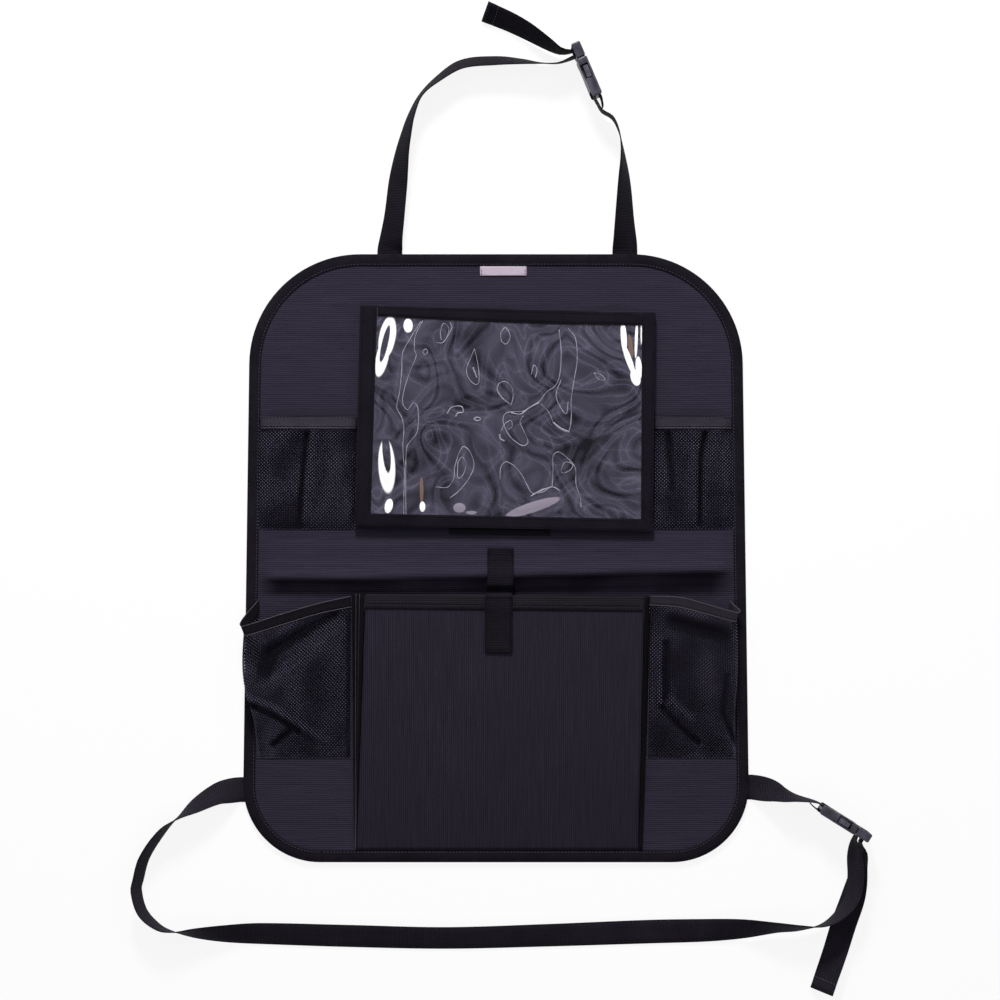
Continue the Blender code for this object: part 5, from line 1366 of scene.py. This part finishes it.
def closure_route():
    """Points (y, z) down the closure strap: over the fold, the gap below it and the middle pocket."""
    on_front = SEAT_GAP + CLOSURE_THICKNESS + CLOSURE_SLACK
    on_mat = SEWN_Z + CLOSURE_THICKNESS + CLOSURE_SLACK
    on_hem = on_front + CLOTH + SEAT_GAP
    hem_low = CENTRE_TOP_LEFT[1] - CENTRE_HEM
    path = [(y, on_mat + fold_lift(CLOSURE_X, y)) for y in CLOSURE_ON_MAT]
    path.append((FOLD_Y, on_mat + fold_lift(CLOSURE_X, FOLD_Y) + 0.0004))
    path += [(y, on_mat + rise) for y, rise in CLOSURE_BELOW_FOLD]
    path.append((-0.0362, front_height(CENTRE_TOP_LEFT[1]) + on_hem - 0.0006))
    path += [(y, front_height(y) + on_hem) for y in (-0.0400, hem_low)]
    path += [(y, front_height(y) + on_front) for y in np.linspace(hem_low, CLOSURE_END, 5)[1:]]
    return [(y, z) for _, y, z in smooth_route([(0.0, y, z) for y, z in path], step=0.0015)]


def closure_centre(y):
    return CLOSURE_X - CLOSURE_LEAN * ramp(-0.020 - y, 0.030)


def build_closure(webbing, thread):
    """The short strap sewn on the mat above the fold, that crosses it and lies on the middle pocket."""
    stations = closure_route()
    half = CLOSURE_WIDTH / 2

    def across(y, reach):
        z = np.interp(-y, [-station[0] for station in stations], [station[1] for station in stations])
        return [(closure_centre(y) + t, y, z + 0.0002) for t in np.linspace(-reach, reach, 9)], UPWARDS

    rows = []
    for y, z in stations:
        row = []
        for side in np.linspace(-1, 1, 9):
            crown = 0.0002 * (1 - side**2) - (0.0003 if abs(side) > 0.99 else 0)
            row.append((closure_centre(y) + side * half, y, z + crown))
        rows.append(row)
    strap = done(cloth("closure_webbing", rows, CLOSURE_THICKNESS, webbing), "webbing", "closure_strap")
    runs = [([(CLOSURE_X + x, y, z + ON_CLOTH) for y, z in stations if -0.002 <= y <= 0.0095], UPWARDS)
            for x in (-0.0112, 0.0112)]
    runs += [across(-0.0015, 0.0112), across(0.0088, 0.0112), across(-0.0895, 0.0115)]
    seam = stitches("closure_stitches", runs, thread, CLOSE_PITCH)
    # Black rims along the lower part's sides and end: a painted shadow outline, drawn as a rolled edge.
    low_run = [(closure_centre(y), y, z) for y, z in stations if y <= -0.0370]
    end_x, end_y, end_z = low_run[-1]
    for word, path in (
        ("left_shadow_rim", [(x - half, y, z) for x, y, z in low_run]),
        ("right_shadow_rim", [(x + half, y, z) for x, y, z in low_run]),
        ("end_shadow_rim", [(end_x + t, end_y, end_z) for t in np.linspace(-half, half, 12)]),
    ):
        piping(f"closure_{word}", path, thread, CLOSURE_RIM)


def build_strap(name, node, route, material, thread, fold_edge=None):
    """A length of webbing through route points (x, y, roll in degrees, height of its lowest edge).

    fold_edge is the material of the piping along the cut edge where its end is folded back and sewn.
    It is grey: a painted edge highlight.
    """
    stations = smooth_route(route, step=STRAP_STEP)
    left_over = [0.0]
    for a, b in zip(stations[::-1], stations[-2::-1]):
        left_over.insert(0, left_over[0] + math.dist(a[:2], b[:2]))
    sections, frames = [], []
    half = WEBBING_WIDTH / 2
    up = Vector(UPWARDS)
    for i, (x, y, roll, rest) in enumerate(stations):
        before, after = stations[max(i - 1, 0)], stations[min(i + 1, len(stations) - 1)]
        along = Vector((after[0] - before[0], after[1] - before[1], 0)).normalized()
        thick = WEBBING_THICKNESS
        if fold_edge:
            thick += (HEM_FOLD_THICKNESS - WEBBING_THICKNESS) * ramp(HEM_FOLD_LENGTH - left_over[i], 0.004)
        roll = math.radians(roll)
        across = up.cross(along) * math.cos(roll) + up * math.sin(roll)
        normal = along.cross(across)
        z = rest + half * abs(math.sin(roll)) + thick / 2 * abs(math.cos(roll))
        centre = Vector((x, y, z))
        sections.append([
            tuple(centre + across * half * a + normal * thick / 2 * b) for a, b in WEBBING_SECTION])
        frames.append((centre, across, normal, thick))
    strap_piece = done(tube(name, sections, material), "webbing", node)
    if fold_edge:
        runs = []
        for reach in (0.0026, 0.0100, HEM_FOLD_LENGTH + 0.0005):
            k = min(range(len(stations)), key=lambda i: abs(left_over[i] - reach))
            centre, across, normal, thick = frames[k]
            for way in (1, -1):
                run = [tuple(centre + across * half * t + normal * (thick / 2 + ON_CLOTH) * way)
                       for t in np.linspace(-0.9, 0.9, 9)]
                runs.append((run, tuple(normal * way)))
        stitches(f"{name}_stitches", runs[:4], thread, CLOSE_PITCH)
        shown = max(runs[4:], key=lambda run: run[1][2])[0]
        piping(f"{name}_folded_edge", shown, fold_edge, FOLDED_EDGE_RADIUS)


def on_buckle(buckle, along, side, roll):
    plug_end, direction = buckle
    x, y = Vector(direction).normalized()
    return plug_end[0] + x * along + y * side, plug_end[1] + y * along - x * side, roll, BUCKLE_REST


def round_bar(buckle, bar_along, start, end, roll):
    points = []
    for k in range(7):
        angle = math.radians(start + (end - start) * k / 6)
        along = bar_along + BUCKLE_TURN * math.cos(angle)
        points.append(on_buckle(buckle, along, BUCKLE_TURN * math.sin(angle), roll))
    return points


def sewn_start(x, y, out_x, out_y):
    return [(x + out_x * reach, y + out_y * reach, 0.0, 0.0) for reach in (-0.012, 0.0, 0.003)]


def build_straps(material, lit_backrest_material, thread, edge_highlight_piping):
    bar, turn = PLUG_BAR, BUCKLE_TURN
    build_strap("headrest_webbing_long", "top_strap_long", [
        *sewn_start(TOP_STRAP_X[0], PANEL_HEIGHT / 2, 0, 1),
        (-0.1050, 0.3182, -20, 0.0), (-0.1015, 0.3420, -33, 0.0), (-0.0980, 0.3740, -38, 0.0),
        (-0.0960, 0.3900, -45, 0.0), (-0.0935, 0.4060, -54, 0.0), (-0.0900, 0.4220, -62, 0.0),
        (-0.0845, 0.4420, -71, 0.0), (-0.0750, 0.4620, -77, 0.0), (-0.0575, 0.4785, -69, 0.0),
        (-0.0340, 0.4930, -61, 0.0), (0.0000, 0.4965, -61, 0.0), (0.0260, 0.4955, -70, 0.0005),
        (0.0440, 0.4937, -79, 0.0015), (0.0620, 0.4935, -84, 0.0025),
        on_buckle(TOP_BUCKLE, bar + turn, 0.0085, -90),
        *round_bar(TOP_BUCKLE, bar, 0, -180, -90),
        on_buckle(TOP_BUCKLE, bar - turn, 0.0070, -90),
        (0.0640, 0.5055, -82, 0.0025), (0.0530, 0.5120, -70, 0.0015), (0.0320, 0.5255, -55, 0.0005),
        (0.0140, 0.5352, -48, 0.0), (-0.0110, 0.5460, -42, 0.0),
    ], material, thread, edge_highlight_piping)
    build_strap("headrest_webbing_short", "top_strap_short", [
        *sewn_start(TOP_STRAP_X[1], PANEL_HEIGHT / 2, 0, 1),
        (0.1290, 0.3182, 18, 0.0), (0.1285, 0.3340, 34, 0.0), (0.1283, 0.3500, 44, 0.0),
        (0.1282, 0.3660, 52, 0.0), (0.1278, 0.3820, 62, 0.0), (0.1272, 0.3960, 73, 0.0),
        (0.1258, 0.4100, 82, 0.0008), (0.1225, 0.4260, 88, 0.0020), (0.1160, 0.4390, 90, BUCKLE_REST),
        on_buckle(TOP_BUCKLE, SOCKET_BAR + 0.0165, 0.0012, 90),
        on_buckle(TOP_BUCKLE, SOCKET_BAR + 0.0080, 0.0024, 90),
        *round_bar(TOP_BUCKLE, SOCKET_BAR, 90, 270, 90),
        on_buckle(TOP_BUCKLE, SOCKET_BAR + 0.0060, -0.0030, 90),
        on_buckle(TOP_BUCKLE, SOCKET_BAR + 0.0130, -0.0012, 90),
    ], material, thread)
    build_strap("backrest_webbing_long", "lower_strap_long", [
        *sewn_start(-half_width(SIDE_STRAP_Y[0]), SIDE_STRAP_Y[0], -1, 0),
        (-0.2655, -0.2325, 14, 0.0), (-0.2780, -0.2350, 34, 0.0), (-0.3000, -0.2468, 58, 0.0),
        (-0.3150, -0.2570, 84, 0.0), (-0.3320, -0.2712, 104, 0.0), (-0.3505, -0.2982, 110, 0.0),
        (-0.3570, -0.3210, 110, 0.0), (-0.3588, -0.3312, 109, 0.0), (-0.3523, -0.3532, 105, 0.0),
        (-0.3360, -0.3682, 95, 0.0), (-0.3210, -0.3727, 82, 0.0), (-0.3010, -0.3740, 60, 0.0),
        (-0.2730, -0.3748, 40, 0.0), (-0.2360, -0.3750, 25, 0.0), (-0.1500, -0.3775, 20, 0.0),
        (-0.0500, -0.3795, 22, 0.0), (0.0500, -0.3770, 18, 0.0), (0.1540, -0.3735, 12, 0.0),
        (0.2080, -0.3720, 17, 0.0005), (0.2450, -0.3700, 31, 0.0015), (0.2800, -0.3682, 58, 0.0025),
        (0.3035, -0.3682, 70, 0.0030), (0.3250, -0.3655, 88, 0.0030), (0.3410, -0.3560, 104, 0.0030),
        (0.3545, -0.3390, 118, 0.0035), (0.3585, -0.3180, 125, 0.0040), (0.3575, -0.2980, 122, 0.0040),
        (0.3570, -0.2860, 108, 0.0035),
        on_buckle(LOWER_BUCKLE, bar + turn, -0.0080, 92),
        *round_bar(LOWER_BUCKLE, bar, 0, 180, 90),
        on_buckle(LOWER_BUCKLE, bar - turn, -0.0080, 90),
        (0.3655, -0.2930, 76, 0.0018), (0.3630, -0.3080, 60, 0.0), (0.3600, -0.3250, 40, 0.0),
        (0.3560, -0.3420, 22, 0.0), (0.3485, -0.3640, 12, 0.0), (0.3385, -0.3950, 20, 0.0),
        (0.3290, -0.4220, 26, 0.0), (0.3252, -0.4330, 26, 0.0),
    ], lit_backrest_material, thread, edge_highlight_piping)
    build_strap("backrest_webbing_short", "lower_strap_short", [
        *sewn_start(half_width(SIDE_STRAP_Y[1]), SIDE_STRAP_Y[1], 1, 0),
        (0.2665, -0.2305, -14, 0.0), (0.2780, -0.2325, -38, 0.0), (0.2880, -0.2360, -60, 0.0005),
        (0.2990, -0.2385, -78, 0.0018),
        on_buckle(LOWER_BUCKLE, SOCKET_BAR + 0.0080, 0.0024, -90),
        *round_bar(LOWER_BUCKLE, SOCKET_BAR, 90, 270, -90),
        on_buckle(LOWER_BUCKLE, SOCKET_BAR + 0.0050, -0.0033, -90),
        on_buckle(LOWER_BUCKLE, SOCKET_BAR + 0.0110, -0.0022, -90),
    ], lit_backrest_material, thread)


def build_scene():
    add_camera_and_lamps()
    add_world_and_floor()
    textile_across = textile_look("textile_ribs_across", "X", (1.0, 1.0, 1.0), fold=True)
    # The middle pocket's textile is a darker copy: painted shade, as its ribs run down and catch less light.
    shaded_textile_down = textile_look("textile_ribs_down", "Y", (0.79, 0.78, 0.76))
    tape = tape_look("black_binding_tape", (0.0010, 0.0008, 0.0014), (0.0190, 0.0160, 0.0245), 0.0011)
    hem_tape = tape_look("grey_hem_tape", (0.0150, 0.0127, 0.0180), (0.0640, 0.0555, 0.0780), 0.0010)
    # The lower pockets' hems are copies of the black tape, darker on the left and lighter on the right.
    lower_hem = tape_look("dark_hem_tape", (0.0014, 0.0011, 0.0018), (0.0130, 0.0112, 0.0156), 0.0010)
    right_hem = tape_look("lighter_hem_tape", (0.0080, 0.0069, 0.0096), (0.0430, 0.0375, 0.0500), 0.0010)
    # The backrest straps use a lighter copy of the black webbing: painted light.
    webbing, backrest = (
        tape_look(name, dark, light, 0.0016, bump=0.0005) for name, dark, light in (
            ("black_webbing", (0.0013, 0.0011, 0.0019), (0.0185, 0.0156, 0.0232)),
            ("backrest_webbing", (0.0018, 0.0015, 0.0026), (0.0330, 0.0278, 0.0412)),
        ))
    net_yarn = net_look()
    thread = thread_look("black_thread", (0.0015, 0.0013, 0.0020), (0.0080, 0.0072, 0.0100))
    build_panel(textile_across)
    build_binding(tape, thread_look("grey_thread", (0.0300, 0.0260, 0.0360), (0.0800, 0.0710, 0.0920)))
    build_label(label_look(), thread)
    # Pale crease lines on the film: painted highlights.
    painted_crease_highlight = thread_look("film_crease_highlight", (0.1100, 0.1040, 0.1400), (0.5600, 0.5400, 0.6400))
    build_sleeve(tape, film_look(), painted_crease_highlight, thread)
    # Grey piping along hem, fold and strap edges: painted edge highlights, drawn as thin rolled edges.
    edge_highlight_piping = thread_look("grey_edge_highlight", (0.0380, 0.0330, 0.0420), (0.1020, 0.0920, 0.1160))
    build_upper_pockets(net_yarn, hem_tape, thread, edge_highlight_piping)
    build_lower_pocket(
        "left", LEFT_MOUTH, LEFT_SEAM, LOWER_LEFT_FOLDS, net_yarn, lower_hem, thread, edge_highlight_piping)
    build_lower_pocket(
        "right", RIGHT_MOUTH, RIGHT_SEAM, LOWER_RIGHT_FOLDS, net_yarn, right_hem, thread, edge_highlight_piping)
    # A darker copy of the black tape for the gussets: painted shade of the folded side strips.
    shaded_gusset_tape = tape_look("shaded_gusset_tape", (0.0006, 0.0005, 0.0008), (0.0090, 0.0076, 0.0112), 0.0011)
    hem_cloth = textile_look("textile_hem_band", "X", (0.60, 0.60, 0.50))
    build_centre_pocket(shaded_textile_down, hem_cloth, thread)
    for gusset in GUSSETS:
        build_gusset(*gusset, shaded_gusset_tape, edge_highlight_piping)
    build_closure(webbing, thread)
    build_straps(webbing, backrest, thread, edge_highlight_piping)
    plastic = plastic_look()
    for node in ("top_buckle_plug", "top_buckle_socket", "lower_buckle_plug", "lower_buckle_socket"):
        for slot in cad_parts[node].material_slots:
            slot.material = plastic


build_scene()
